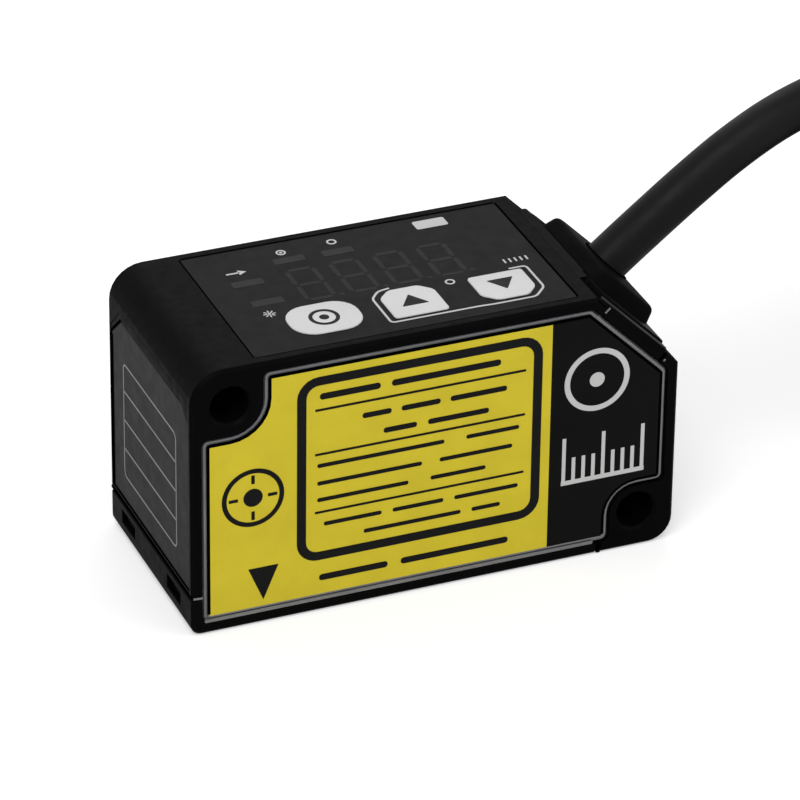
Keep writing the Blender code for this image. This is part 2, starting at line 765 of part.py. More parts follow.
def film_outline(inset):
    width = FILM_RIGHT - FILM_LEFT - 2 * inset
    height = FILM_FAR - FILM_NEAR - 2 * inset
    middle = ((FILM_LEFT + FILM_RIGHT) / 2, (FILM_NEAR + FILM_FAR) / 2)
    return rounded_box(width, height, FILM_CORNER_RADIUS, middle)


def end_label_outline(inset):
    """The end label's outline in (y, z), with both upper corners cut off."""
    side = BODY_DEPTH / 2 - END_LABEL_MARGIN - inset
    low = HOUSING_FOOT + END_LABEL_FOOT + inset
    high = TOP - TOP_CORNER_RADIUS - inset
    cut_off = END_LABEL_CORNER
    return [
        Vector((-side, low)),
        Vector((side, low)),
        Vector((side, high - cut_off)),
        Vector((side - cut_off, high)),
        Vector((-side + cut_off, high)),
        Vector((-side, high - cut_off)),
    ]


def make_side_plate(parts):
    metal = principled("grey_plate", (0.115, 0.115, 0.122), 0.38, 0.85)
    outline = side_outline(
        PLATE_RIM + SEAT_GAP / 2,
        PLATE_LAND_UPPER + SEAT_GAP / 2,
        PLATE_LAND_LOWER + SEAT_GAP / 2,
        PLATE_CORNER_RADIUS,
    )
    near = PLATE_FACE - FILM_GAP - PLATE_THICKNESS
    plate = extrusion("side_plate", [outline], near, PLATE_FACE - FILM_GAP, parts, metal, upright=True)
    soften(plate, PLATE_BREAK, angle=60.0)
    paper = principled("yellow_label", (0.61, 0.49, 0.03), 0.45)
    label = side_outline(
        PLATE_RIM + LABEL_MARGIN,
        PLATE_LAND_UPPER + LABEL_MARGIN,
        PLATE_LAND_LOWER + LABEL_MARGIN,
        LABEL_CORNER_RADIUS,
    )
    label_back = near - FILM_GAP
    extrusion("side_label", [label], label_back - LABEL_THICKNESS, label_back, parts, paper, upright=True)


def make_front_cover(parts, cutters, recess):
    """The moulded tray that snaps onto the foot, with its latch slots and the two window seats."""
    plastic = principled("black_moulding", (0.016, 0.016, 0.017), 0.42)
    top = HOUSING_FOOT - SEAM
    profile = rounded(
        [
            (LEFT, 0.0, COVER_CORNER_RADIUS),
            (LEFT, top, 0.0),
            (COVER_END, top, 0.0),
            (COVER_END, 0.0, 0.0),
        ]
    )
    cover = extrusion("front_cover", [profile], FRONT, BACK, parts, plastic, upright=True)
    soften(cover, EDGE_BREAK, angle=60.0)
    tray = box(
        "cut_cover_tray",
        (LEFT + COVER_WALL, FRONT + COVER_WALL, COVER_FLOOR),
        (COVER_END - COVER_WALL, BACK - COVER_WALL, HOUSING_FOOT + OVERCUT),
        cutters,
    )
    cut(cover, tray, recess)
    for side, y in (("back", LATCH_OFFSET_Y), ("near", -LATCH_OFFSET_Y)):
        slot = box(
            f"cut_latch_slot_{side}",
            (LEFT - OVERCUT, y - LATCH_SLOT_WIDTH / 2, LATCH_SLOT_Z - LATCH_SLOT_HEIGHT / 2),
            (LEFT + COVER_WALL + OVERCUT / 2, y + LATCH_SLOT_WIDTH / 2, LATCH_SLOT_Z + LATCH_SLOT_HEIGHT / 2),
            cutters,
        )
        cut(cover, slot)
    glass = principled("clear_acrylic", (0.55, 0.58, 0.60), 0.08, alpha=0.35)
    window_left = BEAM_X + EMITTER_OPENING[0] / 2 + WINDOW_RIB
    window_right = COVER_END - WINDOW_END_MARGIN
    receiver_opening = (window_right - window_left, RECEIVER_OPENING_DEPTH)
    for name, x, size in (
        ("emitter_window", BEAM_X, EMITTER_OPENING),
        ("receiver_window", (window_left + window_right) / 2, receiver_opening),
    ):
        opening = rounded_box(size[0], size[1], PANE_LEDGE, (x, 0.0))
        seat = rounded_box(size[0] + 2 * PANE_LEDGE, size[1] + 2 * PANE_LEDGE, PANE_LEDGE, (x, 0.0))
        depth = PANE_SINK + PANE_THICKNESS + FILM_GAP
        cut(
            cover,
            extrusion(f"cut_{name}_opening", [opening], -OVERCUT, COVER_FLOOR + OVERCUT, cutters),
            extrusion(f"cut_{name}_seat", [seat], -OVERCUT, depth, cutters),
        )
        play = 2 * SEAT_GAP
        pane = rounded_box(
            size[0] + 2 * PANE_LEDGE - play, size[1] + 2 * PANE_LEDGE - play, PANE_LEDGE - SEAT_GAP, (x, 0.0)
        )
        extrusion(name, [pane], PANE_SINK, PANE_SINK + PANE_THICKNESS, parts, glass)


def make_gasket(parts):
    rubber = principled("black_rubber", (0.012, 0.012, 0.012), 0.7)
    left = LEFT + COVER_WALL + 2 * SEAT_GAP + LATCH_TONGUE_THICKNESS
    right = COVER_END - COVER_WALL - SEAT_GAP
    near = FRONT + COVER_WALL + SEAT_GAP
    far = BACK - COVER_WALL - SEAT_GAP
    middle = ((left + right) / 2, (near + far) / 2)
    length = right - left
    width = far - near
    low = COVER_FLOOR + SEAT_GAP
    outer = rounded_box(length, width, GASKET_WIDTH, middle)
    inner = rounded_box(length - 2 * GASKET_WIDTH, width - 2 * GASKET_WIDTH, GASKET_WIDTH / 2, middle)
    extrusion("cover_gasket", [outer, inner], low, low + GASKET_HEIGHT, parts, rubber)


def make_bench(parts, cutters):
    """The optical bench: a laser bore, a tilted receiver tunnel and a slope for the sensor board."""
    plastic = principled("bench_moulding", (0.03, 0.03, 0.032), 0.6)
    left = LEFT + WALL + BENCH_SIDE_GAP
    right = RIGHT - BENCH_INSET_X
    slope_end = (BENCH_SLOPE_OFFSET - right * math.sin(BENCH_SLOPE)) / math.cos(BENCH_SLOPE)
    profile = rounded(
        [
            (left, BENCH_UNDERSIDE, BENCH_CORNER_RADIUS),
            (left, BENCH_TOP, BENCH_CORNER_RADIUS),
            (BENCH_SLOPE_X, BENCH_TOP, 0.0),
            (right, slope_end, 0.0),
            (right, BENCH_UNDERSIDE, BENCH_CORNER_RADIUS),
        ]
    )
    bench = extrusion("optical_bench", [profile], BENCH_NEAR, BENCH_FAR, parts, plastic, upright=True)
    height = BENCH_TOP - BENCH_UNDERSIDE
    bore = rod(
        "cut_laser_bore", LASER_BORE_RADIUS, height + 2 * OVERCUT, cutters,
        location=(BEAM_X, 0.0, (BENCH_TOP + BENCH_UNDERSIDE) / 2),
    )
    tunnel = box(
        "cut_receiver_tunnel",
        (-TUNNEL_WIDTH / 2, -TUNNEL_DEPTH / 2, -height),
        (TUNNEL_WIDTH / 2, TUNNEL_DEPTH / 2, 2 * height),
        cutters, location=RECEIVER_PLACE, rotation=RECEIVER_TURN,
    )
    seat_middle = Vector((0, 0, RECEIVER_LENS_THICKNESS / 2 - height / 2))
    seat = rod(
        "cut_lens_seat", RECEIVER_LENS_RADIUS + RECEIVER_RING_WIDTH + SEAT_GAP, height, cutters,
        location=RECEIVER_PLACE + Matrix.Rotation(RECEIVER_TILT, 3, "Y") @ seat_middle, rotation=RECEIVER_TURN,
    )
    pocket_x = (BEAM_X + LASER_BORE_RADIUS + RECEIVER_PLACE.x - TUNNEL_WIDTH / 2) / 2
    pocket = box(
        "cut_bench_pocket",
        (pocket_x - BENCH_POCKET_WIDTH / 2, BENCH_NEAR - OVERCUT, BENCH_UNDERSIDE + BENCH_POCKET_EDGE),
        (pocket_x + BENCH_POCKET_WIDTH / 2, BENCH_NEAR + BENCH_POCKET_DEPTH, BENCH_TOP - BENCH_POCKET_EDGE),
        cutters,
    )
    cut(bench, bore, tunnel, seat, pocket, *latch_rooms(cutters))
    steel = principled("screw_steel", (0.45, 0.45, 0.46), 0.35, 1.0)
    for number, (x, z) in enumerate(BENCH_SCREW_PLACES, 1):
        shaft = rod(
            f"cut_bench_screw_{number}", SCREW_RADIUS + SEAT_GAP, BODY_DEPTH, cutters,
            location=(x, 0.0, z), rotation=UPRIGHT, steps=SMALL_TURNED_STEPS,
        )
        sink_depth = SCREW_HEAD_HEIGHT + 2 * SEAT_GAP
        sink = rod(
            f"cut_bench_sink_{number}", SCREW_HEAD_RADIUS + SEAT_GAP, 2 * sink_depth, cutters,
            location=(x, BENCH_NEAR, z), rotation=UPRIGHT,
        )
        cut(bench, shaft, sink)
        make_screw(
            f"bench_screw_{number}", x, z, BENCH_NEAR + SEAT_GAP, INNER_BACK + SCREW_HEAD_HEIGHT, parts, steel
        )
    for number, (x, z) in enumerate(BOARD_SCREW_PLACES, 1):
        pilot = rod(
            f"cut_board_pilot_{number}", SCREW_RADIUS + SEAT_GAP, 2 * SCREW_PILOT, cutters,
            location=(x, BENCH_NEAR, z), rotation=UPRIGHT, steps=SMALL_TURNED_STEPS,
        )
        cut(bench, pilot)
        head = MAIN_BOARD_NEAR - SEAT_GAP - SCREW_HEAD_HEIGHT
        make_screw(f"board_screw_{number}", x, z, head, BENCH_NEAR + SCREW_PILOT - SEAT_GAP, parts, steel)


def latch_rooms(cutters):
    """Room in the bench for the two latch tongues."""
    reach = LATCH_WIDTH / 2 + LOOSE_GAP
    rooms = []
    for side, y in (("back", LATCH_OFFSET_Y), ("near", -LATCH_OFFSET_Y)):
        rooms.append(
            box(
                f"cut_bench_latch_{side}",
                (LEFT, y - reach, BENCH_UNDERSIDE - OVERCUT),
                (
                    LEFT + WALL + SEAT_GAP + LATCH_TONGUE_THICKNESS + LOOSE_GAP,
                    y + reach,
                    HOUSING_FOOT + LATCH_ROOT_HEIGHT + LOOSE_GAP,
                ),
                cutters,
            )
        )
    return rooms


def make_screw(name, x, z, near, far, parts, steel):
    """A pan-head screw along +Y, with its head's face at near and its tip at far."""
    profile = [
        (0.0, 0.0),
        (SCREW_HEAD_RADIUS - SCREW_HEAD_CHAMFER, 0.0),
        (SCREW_HEAD_RADIUS, -SCREW_HEAD_CHAMFER),
        (SCREW_HEAD_RADIUS, -SCREW_HEAD_HEIGHT),
        (SCREW_RADIUS, -SCREW_HEAD_HEIGHT),
        (SCREW_RADIUS, near - far + SCREW_RADIUS),
        (0.0, near - far),
    ]
    turned(name, profile, parts, steel, location=(x, near, z), rotation=UPRIGHT, steps=SMALL_TURNED_STEPS)


def make_laser(parts):
    """The laser's brass barrel, with the collimator at its mouth and the diode at its top."""
    foot = BENCH_UNDERSIDE + LASER_HOLDER_FOOT
    top = BENCH_TOP - LASER_HOLDER_DROP
    outer = LASER_BORE_RADIUS - SEAT_GAP
    inner = outer - LASER_HOLDER_WALL
    lip = inner - LASER_HOLDER_LIP
    brass = principled("brass_barrel", (0.50, 0.36, 0.12), 0.35, 1.0)
    mouth = foot - SEAT_GAP
    turned(
        "laser_holder",
        [(outer, top), (outer, mouth), (lip, mouth), (lip, foot), (inner, foot), (inner, top)],
        parts, brass, location=(BEAM_X, 0.0, 0.0), closed=True,
    )
    glass = principled("lens_glass", (0.70, 0.74, 0.80), 0.05, alpha=0.4)
    low = foot + SEAT_GAP
    turned(
        "collimator_lens",
        lens_profile(inner - SEAT_GAP, low, low + COLLIMATOR_THICKNESS, COLLIMATOR_CROWN),
        parts, glass, location=(BEAM_X, 0.0, 0.0),
    )
    can = principled("diode_can", (0.55, 0.50, 0.36), 0.3, 1.0)
    flange = top + SEAT_GAP
    turned(
        "laser_diode",
        [
            (0.0, flange + LASER_FLANGE_HEIGHT),
            (LASER_FLANGE_RADIUS, flange + LASER_FLANGE_HEIGHT),
            (LASER_FLANGE_RADIUS, flange),
            (LASER_CAN_RADIUS, flange),
            (LASER_CAN_RADIUS, flange - LASER_CAN_HEIGHT),
            (0.0, flange - LASER_CAN_HEIGHT),
        ],
        parts, can, location=(BEAM_X, 0.0, 0.0),
    )


def lens_profile(radius, low, high, crown):
    """A lens with a flat underside, a rim and an upper face that rises by its crown."""
    face = []
    for step in range(LENS_STEPS + 1):
        angle = math.pi / 2 * step / LENS_STEPS
        face.append((radius * math.sin(angle), high - crown + crown * math.cos(angle)))
    return [*face, (radius, low), (0.0, low)]


def make_receiver(parts):
    """The receiver's lens and its ring in the tunnel, and the sensor board with its chip on the slope."""
    glass = principled("receiver_glass", (0.70, 0.74, 0.80), 0.05, alpha=0.4)
    top = RECEIVER_LENS_THICKNESS / 2 - SEAT_GAP
    turned(
        "receiver_lens",
        lens_profile(RECEIVER_LENS_RADIUS, -top, top, RECEIVER_LENS_CROWN),
        parts, glass, location=RECEIVER_PLACE, rotation=RECEIVER_TURN,
    )
    black = principled("ring_black", (0.02, 0.02, 0.02), 0.5)
    inner = RECEIVER_LENS_RADIUS + SEAT_GAP
    outer = RECEIVER_LENS_RADIUS + RECEIVER_RING_WIDTH
    low = top - RECEIVER_RING_HEIGHT
    turned(
        "receiver_ring", [(outer, top), (outer, low), (inner, low), (inner, top)],
        parts, black, location=RECEIVER_PLACE, rotation=RECEIVER_TURN, closed=True,
    )
    turn = (0.0, BENCH_SLOPE, 0.0)
    green = principled("board_green", (0.02, 0.10, 0.05), 0.5)
    box(
        "sensor_board",
        (-SENSOR_BOARD_OVERHANG, BENCH_NEAR + SENSOR_BOARD_NEAR_GAP, SEAT_GAP),
        (
            SENSOR_BOARD_LENGTH - SENSOR_BOARD_OVERHANG,
            INNER_BACK - SENSOR_BOARD_FAR_GAP,
            SEAT_GAP + BOARD_THICKNESS,
        ),
        parts, green, location=(BENCH_SLOPE_X, 0.0, BENCH_TOP), rotation=turn,
    )
    chip = principled("chip_black", (0.01, 0.01, 0.012), 0.3)
    across, deep, tall = IMAGE_CHIP
    box(
        "image_sensor", (-across / 2, -deep / 2, -tall), (across / 2, deep / 2, 0.0),
        parts, chip, location=slope_point(), rotation=turn,
    )


def slope_point():
    """Where the receiver's axis meets the bench's slope."""
    normal = Vector((math.sin(BENCH_SLOPE), 0.0, math.cos(BENCH_SLOPE)))
    axis = Vector((math.sin(RECEIVER_TILT), 0.0, math.cos(RECEIVER_TILT)))
    away = (BENCH_SLOPE_OFFSET - RECEIVER_PLACE.dot(normal)) / axis.dot(normal)
    return RECEIVER_PLACE + axis * away


def make_main_board(parts, cutters):
    """The main board with its processor, its link to the display board and the leads' connector."""
    green = principled("main_board_green", (0.02, 0.10, 0.05), 0.5)
    board = box(
        "main_board",
        (LEFT + MAIN_BOARD_LEFT_INSET, MAIN_BOARD_NEAR, MAIN_BOARD_FOOT),
        (RIGHT - MAIN_BOARD_RIGHT_INSET, MAIN_BOARD_FAR, MAIN_BOARD_TOP),
        parts, green,
    )
    for number, (x, z) in enumerate(BOARD_SCREW_PLACES, 1):
        hole = rod(
            f"cut_board_hole_{number}", SCREW_RADIUS + SEAT_GAP, 4 * BOARD_THICKNESS, cutters,
            location=(x, MAIN_BOARD_NEAR, z), rotation=UPRIGHT, steps=SMALL_TURNED_STEPS,
        )
        cut(board, hole)
    chip = principled("processor_black", (0.01, 0.01, 0.012), 0.3)
    wide, high, thick = PROCESSOR_SIZE
    x, z = PROCESSOR_PLACE
    face = MAIN_BOARD_NEAR - FILM_GAP
    box(
        "processor",
        (x - wide / 2, face - thick, z - high / 2),
        (x + wide / 2, face, z + high / 2),
        parts, chip,
    )
    link = principled("link_black", (0.02, 0.02, 0.02), 0.5)
    box(
        "board_link",
        (BOARD_LINK_X - BOARD_LINK_LENGTH / 2, MAIN_BOARD_NEAR, MAIN_BOARD_TOP + SEAT_GAP),
        (
            BOARD_LINK_X + BOARD_LINK_LENGTH / 2,
            MAIN_BOARD_NEAR + BOARD_LINK_DEPTH,
            DISPLAY_BOARD_Z - SEAT_GAP,
        ),
        parts, link,
    )
    white = principled("connector_white", (0.75, 0.73, 0.68), 0.5)
    across, deep, tall = CONNECTOR_SIZE
    x, z = CONNECTOR_PLACE
    back = MAIN_BOARD_FAR + FILM_GAP
    box(
        "lead_connector",
        (x - across / 2, back, z - tall / 2),
        (x + across / 2, back + deep, z + tall / 2),
        parts, white,
    )


def make_display(parts):
    """The display board with its digits block, lamps and light pipes, and the film over them."""
    green = principled("display_board_green", (0.02, 0.10, 0.05), 0.5)
    box(
        "display_board",
        (LEFT + DISPLAY_BOARD_LEFT_INSET, PLATE_FACE + DISPLAY_BOARD_MARGIN + PLATE_THICKNESS, DISPLAY_BOARD_Z),
        (RIGHT - DISPLAY_BOARD_RIGHT_INSET, INNER_BACK - DISPLAY_BOARD_MARGIN, DISPLAY_BOARD_TOP),
        parts, green,
    )
    under_film = TOP - FILM_RECESS - SEAT_GAP
    block = principled("display_block", (0.05, 0.05, 0.055), 0.4)
    extrusion(
        "digit_display",
        [rounded_box(*DISPLAY_SIZE, DISPLAY_CLEARANCE / 2, DISPLAY_CENTRE)],
        DISPLAY_BOARD_TOP + FILM_GAP, under_film, parts, block,
    )
    clear = principled("light_pipe_clear", (0.60, 0.60, 0.60), 0.2, alpha=0.5)
    lamp = principled("lamp_chip", (0.80, 0.78, 0.60), 0.4)
    half_x, half_y = LAMP_CHIP[0] / 2, LAMP_CHIP[1] / 2
    chip_foot = DISPLAY_BOARD_TOP + FILM_GAP
    chip_top = chip_foot + LAMP_CHIP[2]
    for number, (x, y) in enumerate(LAMP_PLACES, 1):
        outline = rounded_box(*LAMP_SIZE, LAMP_SIZE[1] / 4, (x, y))
        extrusion(f"light_pipe_{number}", [outline], chip_top + SEAT_GAP, under_film, parts, clear)
        box(
            f"lamp_{number}",
            (x - half_x, y - half_y, chip_foot),
            (x + half_x, y + half_y, chip_top),
            parts, lamp,
        )
    film = principled("display_film", (0.028, 0.028, 0.029), 0.4)
    extrusion(
        "display_film", [film_outline(FILM_GAP)], TOP - FILM_RECESS + FILM_GAP, TOP - FILM_GAP, parts, film
    )


def make_keys(parts, cutters):
    """Three switches and the plungers over them, each plunger with its origin on its axis."""
    body = principled("switch_body", (0.10, 0.10, 0.11), 0.4)
    button = principled("plunger", (0.35, 0.35, 0.36), 0.5)
    seat = DISPLAY_BOARD_TOP + FILM_GAP
    across, deep, tall = SWITCH_SIZE
    top = seat + tall
    head = TOP - FILM_RECESS - SEAT_GAP
    shoulder = top + KEY_TRAVEL + SEAT_GAP
    tip = seat + KEY_TRAVEL + SEAT_GAP
    for name, (x, y) in zip(KEY_NAMES, KEY_PLACES):
        switch = box(
            f"key_switch_{name}",
            (-across / 2, -deep / 2, 0.0),
            (across / 2, deep / 2, tall),
            parts, body, location=(x, y, seat),
        )
        bore = rod(
            f"cut_switch_bore_{name}", KEY_PIN_RADIUS + KEY_GUIDE_GAP, 2 * (tall - SEAT_GAP), cutters,
            location=(x, y, top), steps=SMALL_TURNED_STEPS,
        )
        cut(switch, bore)
        profile = [
            (0.0, head - shoulder),
            (KEY_PLUNGER_RADIUS - KEY_PLUNGER_CHAMFER, head - shoulder),
            (KEY_PLUNGER_RADIUS, head - shoulder - KEY_PLUNGER_CHAMFER),
            (KEY_PLUNGER_RADIUS, 0.0),
            (KEY_PIN_RADIUS, 0.0),
            (KEY_PIN_RADIUS, tip + SEAT_GAP - shoulder),
            (0.0, tip + SEAT_GAP - shoulder),
        ]
        turned(f"key_plunger_{name}", profile, parts, button, location=(x, y, shoulder))


def make_end_label(parts):
    paper = principled("end_label", (0.048, 0.048, 0.050), 0.45)
    extrusion(
        "end_label", [end_label_outline(FILM_GAP)], FILM_GAP, FILM_GAP + LABEL_THICKNESS, parts, paper,
        location=(LEFT, 0.0, 0.0), rotation=END_TURN,
    )


def make_cable_exit(parts, cutters, recess):
    """The plug that fills the corner's slot, the boot on it, and the clamp on the cable inside."""
    plastic = principled("plug_moulding", (0.016, 0.016, 0.017), 0.5)
    plug = box(
        "cable_plug",
        (-PLUG_LENGTH / 2, FRONT + EDGE_BREAK / 2, -WALL),
        (PLUG_LENGTH / 2, PLUG_END_Y, PLUG_RISE),
        parts, plastic, location=CUT_CENTRE, rotation=CUT_TURN,
    )
    soften(plug, EDGE_BREAK)
    neck = CABLE_RADIUS + SEAT_GAP + BOOT_NECK_WALL
    hole = rod("cut_plug_hole", neck + SEAT_GAP, 4 * WALL, cutters, location=CUT_CENTRE, rotation=CUT_TURN)
    cut(plug, hole, recess)

    rubber = principled("boot_rubber", (0.012, 0.012, 0.012), 0.6)
    boot = extrusion(
        "cable_boot",
        [rounded_box(BOOT_LENGTH_S, BOOT_LENGTH_Y, BOOT_RADIUS, (0.0, BOOT_CENTRE_Y))],
        BOOT_SEAT, BOOT_SEAT + BOOT_THICKNESS, parts, rubber, location=CUT_CENTRE, rotation=CUT_TURN,
    )
    soften(boot, BOOT_EDGE, segments=3)
    sleeve = rod(
        "join_boot_neck", neck, BOOT_SEAT + WALL + BOOT_THICKNESS / 2, cutters,
        location=corner_point(0, 0, (BOOT_SEAT + BOOT_THICKNESS / 2 - WALL) / 2), rotation=CUT_TURN,
    )
    bore = rod("cut_boot_bore", BORE_RADIUS, 8 * WALL, cutters, location=CUT_CENTRE, rotation=CUT_TURN)
    join(boot, sleeve)
    cut(boot, bore)

    steel = principled("clamp_steel", (0.45, 0.45, 0.46), 0.35, 1.0)
    top = -WALL - SEAT_GAP
    outer = BORE_RADIUS + CLAMP_WALL
    turned(
        "cable_clamp",
        [(outer, top), (outer, top - CLAMP_LENGTH), (BORE_RADIUS, top - CLAMP_LENGTH), (BORE_RADIUS, top)],
        parts, steel, location=CUT_CENTRE, rotation=CUT_TURN, closed=True,
    )


def lead_colour(number):
    return principled(f"lead_{LEAD_NAMES[number]}", LEAD_COLOURS[number], 0.45)


def make_inner_leads(parts):
    """Five conductors from the sheath's end to the connector on the main board."""
    start = corner_point(0, 0, SHEATH_END - SEAT_GAP)
    x, z = CONNECTOR_PLACE
    face = MAIN_BOARD_FAR + FILM_GAP + CONNECTOR_SIZE[1] + SEAT_GAP
    radius = INNER_LEAD_DIAMETER / 2
    pitch = CONNECTOR_SIZE[2] / (len(LEAD_NAMES) + 1)
    row = 2 * (CABLE_RADIUS - 2 * radius) / (len(LEAD_NAMES) - 1)
    for number, name in enumerate(LEAD_NAMES):
        place_in_row = number - (len(LEAD_NAMES) - 1) / 2
        out = start + Matrix.Rotation(CUT_TURN[1], 3, "Y") @ Vector((place_in_row * row, 0.0, 0.0))
        end = Vector((x, face, z - place_in_row * pitch))
        away = out - CUT_NORMAL * INNER_LEAD_RUN_OUT
        near_end = end + Vector((0.0, INNER_LEAD_RUN_IN, 0.0))
        route = smooth_route([out, away, away.lerp(near_end, 0.5), near_end, end], INNER_LEAD_SPACING)
        tube(f"inner_lead_{name}", route, radius, parts, lead_colour(number), resolution=1)


def stadium(straight, radius):
    """A racetrack outline about the origin: two straight runs and two half rounds."""
    outline = []
    steps = math.ceil(180.0 / ARC_STEP_DEGREES)
    for side in (1, -1):
        for step in range(steps + 1):
            angle = -math.pi / 2 + math.pi * step / steps
            outline.append(
                Vector((side * (straight / 2 + radius * math.cos(angle)), side * radius * math.sin(angle)))
            )
    return outline


def make_cable(parts):
    """The free stretch, the hank with its tie, and the stripped tail in the hank's middle."""
    sheath = principled("cable_sheath", (0.022, 0.022, 0.023), 0.5)
    straight_out = [
        corner_point(0, 0, SHEATH_END),
        corner_point(0, 0, 0),
        corner_point(0, 0, BOOT_SEAT + BOOT_THICKNESS),
    ]
    route = smooth_route(straight_out + [Vector(point) for point in CABLE_ROUTE], CABLE_SPACING)
    tube("cable", route, CABLE_RADIUS, parts, sheath, resolution=3)

    outer = HANK_INNER_RADIUS + (HANK_COLUMNS - 0.5) * CABLE_DIAMETER
    inner = HANK_INNER_RADIUS - CABLE_RADIUS
    low = TIE_THICKNESS + LOOSE_GAP
    high = low + HANK_LAYERS * CABLE_DIAMETER
    middle = (HANK_START_X + outer + HANK_STRAIGHT / 2, 0.0, 0.0)
    extrusion(
        "cable_hank", [stadium(HANK_STRAIGHT, outer), stadium(HANK_STRAIGHT, inner)], low, high, parts, sheath,
        location=middle,
    )
    tie = principled("tie_black", (0.015, 0.015, 0.015), 0.45)
    gap = 2 * LOOSE_GAP
    width, height = 2 * (outer + gap), high - low + LOOSE_GAP + gap
    centre = (0.0, TIE_THICKNESS + height / 2)
    rim = 2 * TIE_THICKNESS
    band_inner = rounded_box(width, height, TIE_CORNER_RADIUS, centre)
    band_outer = rounded_box(width + rim, height + rim, TIE_CORNER_RADIUS + TIE_THICKNESS, centre)
    extrusion(
        "cable_tie", [band_outer, band_inner], -TIE_WIDTH / 2, TIE_WIDTH / 2, parts, tie, upright=True,
        location=middle, rotation=(0.0, 0.0, math.radians(90.0)),
    )
    half_run = HANK_STRAIGHT / 2
    start = Vector((middle[0] + half_run + TAIL_RUN_IN, CABLE_RADIUS + SEAT_GAP - inner, low + CABLE_RADIUS))
    end = start.copy()
    end.x = middle[0] - half_run - inner + LEAD_END_MARGIN + LEAD_LENGTH
    tail = smooth_route([start, end], CABLE_SPACING)
    tube("cable_tail", tail, CABLE_RADIUS, parts, sheath, resolution=3)
    make_leads(parts, tail[-1], (tail[-1] - tail[-2]).normalized(), low + LEAD_DIAMETER / 2)


def make_leads(parts, end, heading, floor):
    """The five leads that fan out of the sheath's far end and lie on the surface in the hank's hollow."""
    side = Vector((0.0, 1.0, 0.0))
    bundle = (LEAD_DIAMETER + 2 * FILM_GAP) / (2 * math.sin(math.pi / len(LEAD_NAMES)))
    for number, name in enumerate(LEAD_NAMES):
        fan = number - (len(LEAD_NAMES) - 1) / 2
        turn = math.radians(LEAD_START_DEGREES[number])
        start = end + heading * LOOSE_GAP + side * bundle * math.cos(turn)
        start.z = end.z + bundle * math.sin(turn)
        down = end + heading * LEAD_TOUCHDOWN + side * (LEAD_TOUCHDOWN_DRIFT + fan * LEAD_TOUCHDOWN_SPREAD)
        down.z = floor
        tip = end + heading * LEAD_LENGTH + side * (LEAD_DRIFT + fan * LEAD_SPREAD)
        tip.z = floor
        route = smooth_route([start, start.lerp(down, 0.5), down, tip], LEAD_SPACING)
        tube(f"lead_{name}", route, LEAD_DIAMETER / 2, parts, lead_colour(number), resolution=1)


def main():
    clear_scene()
    parts = new_collection("laser_displacement_sensor")
    cutters = new_collection("cutters", hidden=True)
    recess = make_plate_recess(cutters)
    make_housing(parts, cutters, recess)
    make_side_plate(parts)
    make_front_cover(parts, cutters, recess)
    make_gasket(parts)
    make_bench(parts, cutters)
    make_laser(parts)
    make_receiver(parts)
    make_main_board(parts, cutters)
    make_display(parts)
    make_keys(parts, cutters)
    make_end_label(parts)
    make_cable_exit(parts, cutters, recess)
    make_inner_leads(parts)
    make_cable(parts)


main()
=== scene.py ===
"""Looks for a compact laser displacement sensor: shells, printed films, keys, cable exit and cable.

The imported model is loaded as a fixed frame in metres: +X along the length towards the cable corner,
-Y the face with the side plate, +Z up. Small features are modelled in millimetres on the plane of the
face that carries them, and are then turned, scaled and moved onto it.
"""

from __future__ import annotations

import json
import logging
import math
from contextlib import contextmanager
from dataclasses import dataclass
from enum import Enum
from typing import Callable, Generic, Iterator, Sequence, TypeVar

import bmesh
import bpy
from mathutils import Matrix, Vector

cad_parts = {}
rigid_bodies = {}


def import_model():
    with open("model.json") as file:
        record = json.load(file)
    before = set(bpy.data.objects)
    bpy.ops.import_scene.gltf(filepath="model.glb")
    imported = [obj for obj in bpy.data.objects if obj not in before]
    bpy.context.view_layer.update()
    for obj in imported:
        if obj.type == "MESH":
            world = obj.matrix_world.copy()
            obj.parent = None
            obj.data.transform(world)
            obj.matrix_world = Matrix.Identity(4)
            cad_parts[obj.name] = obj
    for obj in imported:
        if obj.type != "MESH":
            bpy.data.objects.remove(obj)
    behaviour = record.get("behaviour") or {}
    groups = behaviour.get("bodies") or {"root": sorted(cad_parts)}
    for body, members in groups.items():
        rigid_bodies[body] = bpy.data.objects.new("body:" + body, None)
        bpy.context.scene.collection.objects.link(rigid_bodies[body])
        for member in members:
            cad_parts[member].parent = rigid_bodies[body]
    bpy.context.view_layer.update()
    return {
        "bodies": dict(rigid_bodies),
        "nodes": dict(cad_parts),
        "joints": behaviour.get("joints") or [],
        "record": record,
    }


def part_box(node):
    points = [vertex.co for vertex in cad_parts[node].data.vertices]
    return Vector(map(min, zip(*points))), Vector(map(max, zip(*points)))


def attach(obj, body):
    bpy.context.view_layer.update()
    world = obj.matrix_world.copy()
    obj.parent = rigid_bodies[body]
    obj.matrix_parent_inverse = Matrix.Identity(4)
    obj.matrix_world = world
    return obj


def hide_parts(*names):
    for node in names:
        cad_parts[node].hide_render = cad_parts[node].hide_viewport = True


Colour = tuple[float, float, float]
Point = tuple[float, float]
Place = tuple[float, float, float]
Piece = bpy.types.Object
Socket = bpy.types.NodeSocket
Face = bmesh.types.BMFace
SizesT = TypeVar("SizesT")

LOG = logging.getLogger("laser_sensor")
BODY = "sensor"
MM = 0.001

# A print starts inside its face and stands out a little, in millimetres.
PRINT_ROOT = -0.05
PRINT_RISE = 0.02
ROUND_STEPS = 6
DISC_STEPS = 48
# Points closer than this are merged, in millimetres on a drawing plane and in metres on a CAD mesh.
MERGE_MM = 0.002
MERGE_M = 1e-6
# Where the cable's axis meets the cut corner.
CORNER_X = 0.01815
CORNER_Z = 0.02115
# A face looks along a direction when the cosine between the two is more than this.
FACING = 0.9


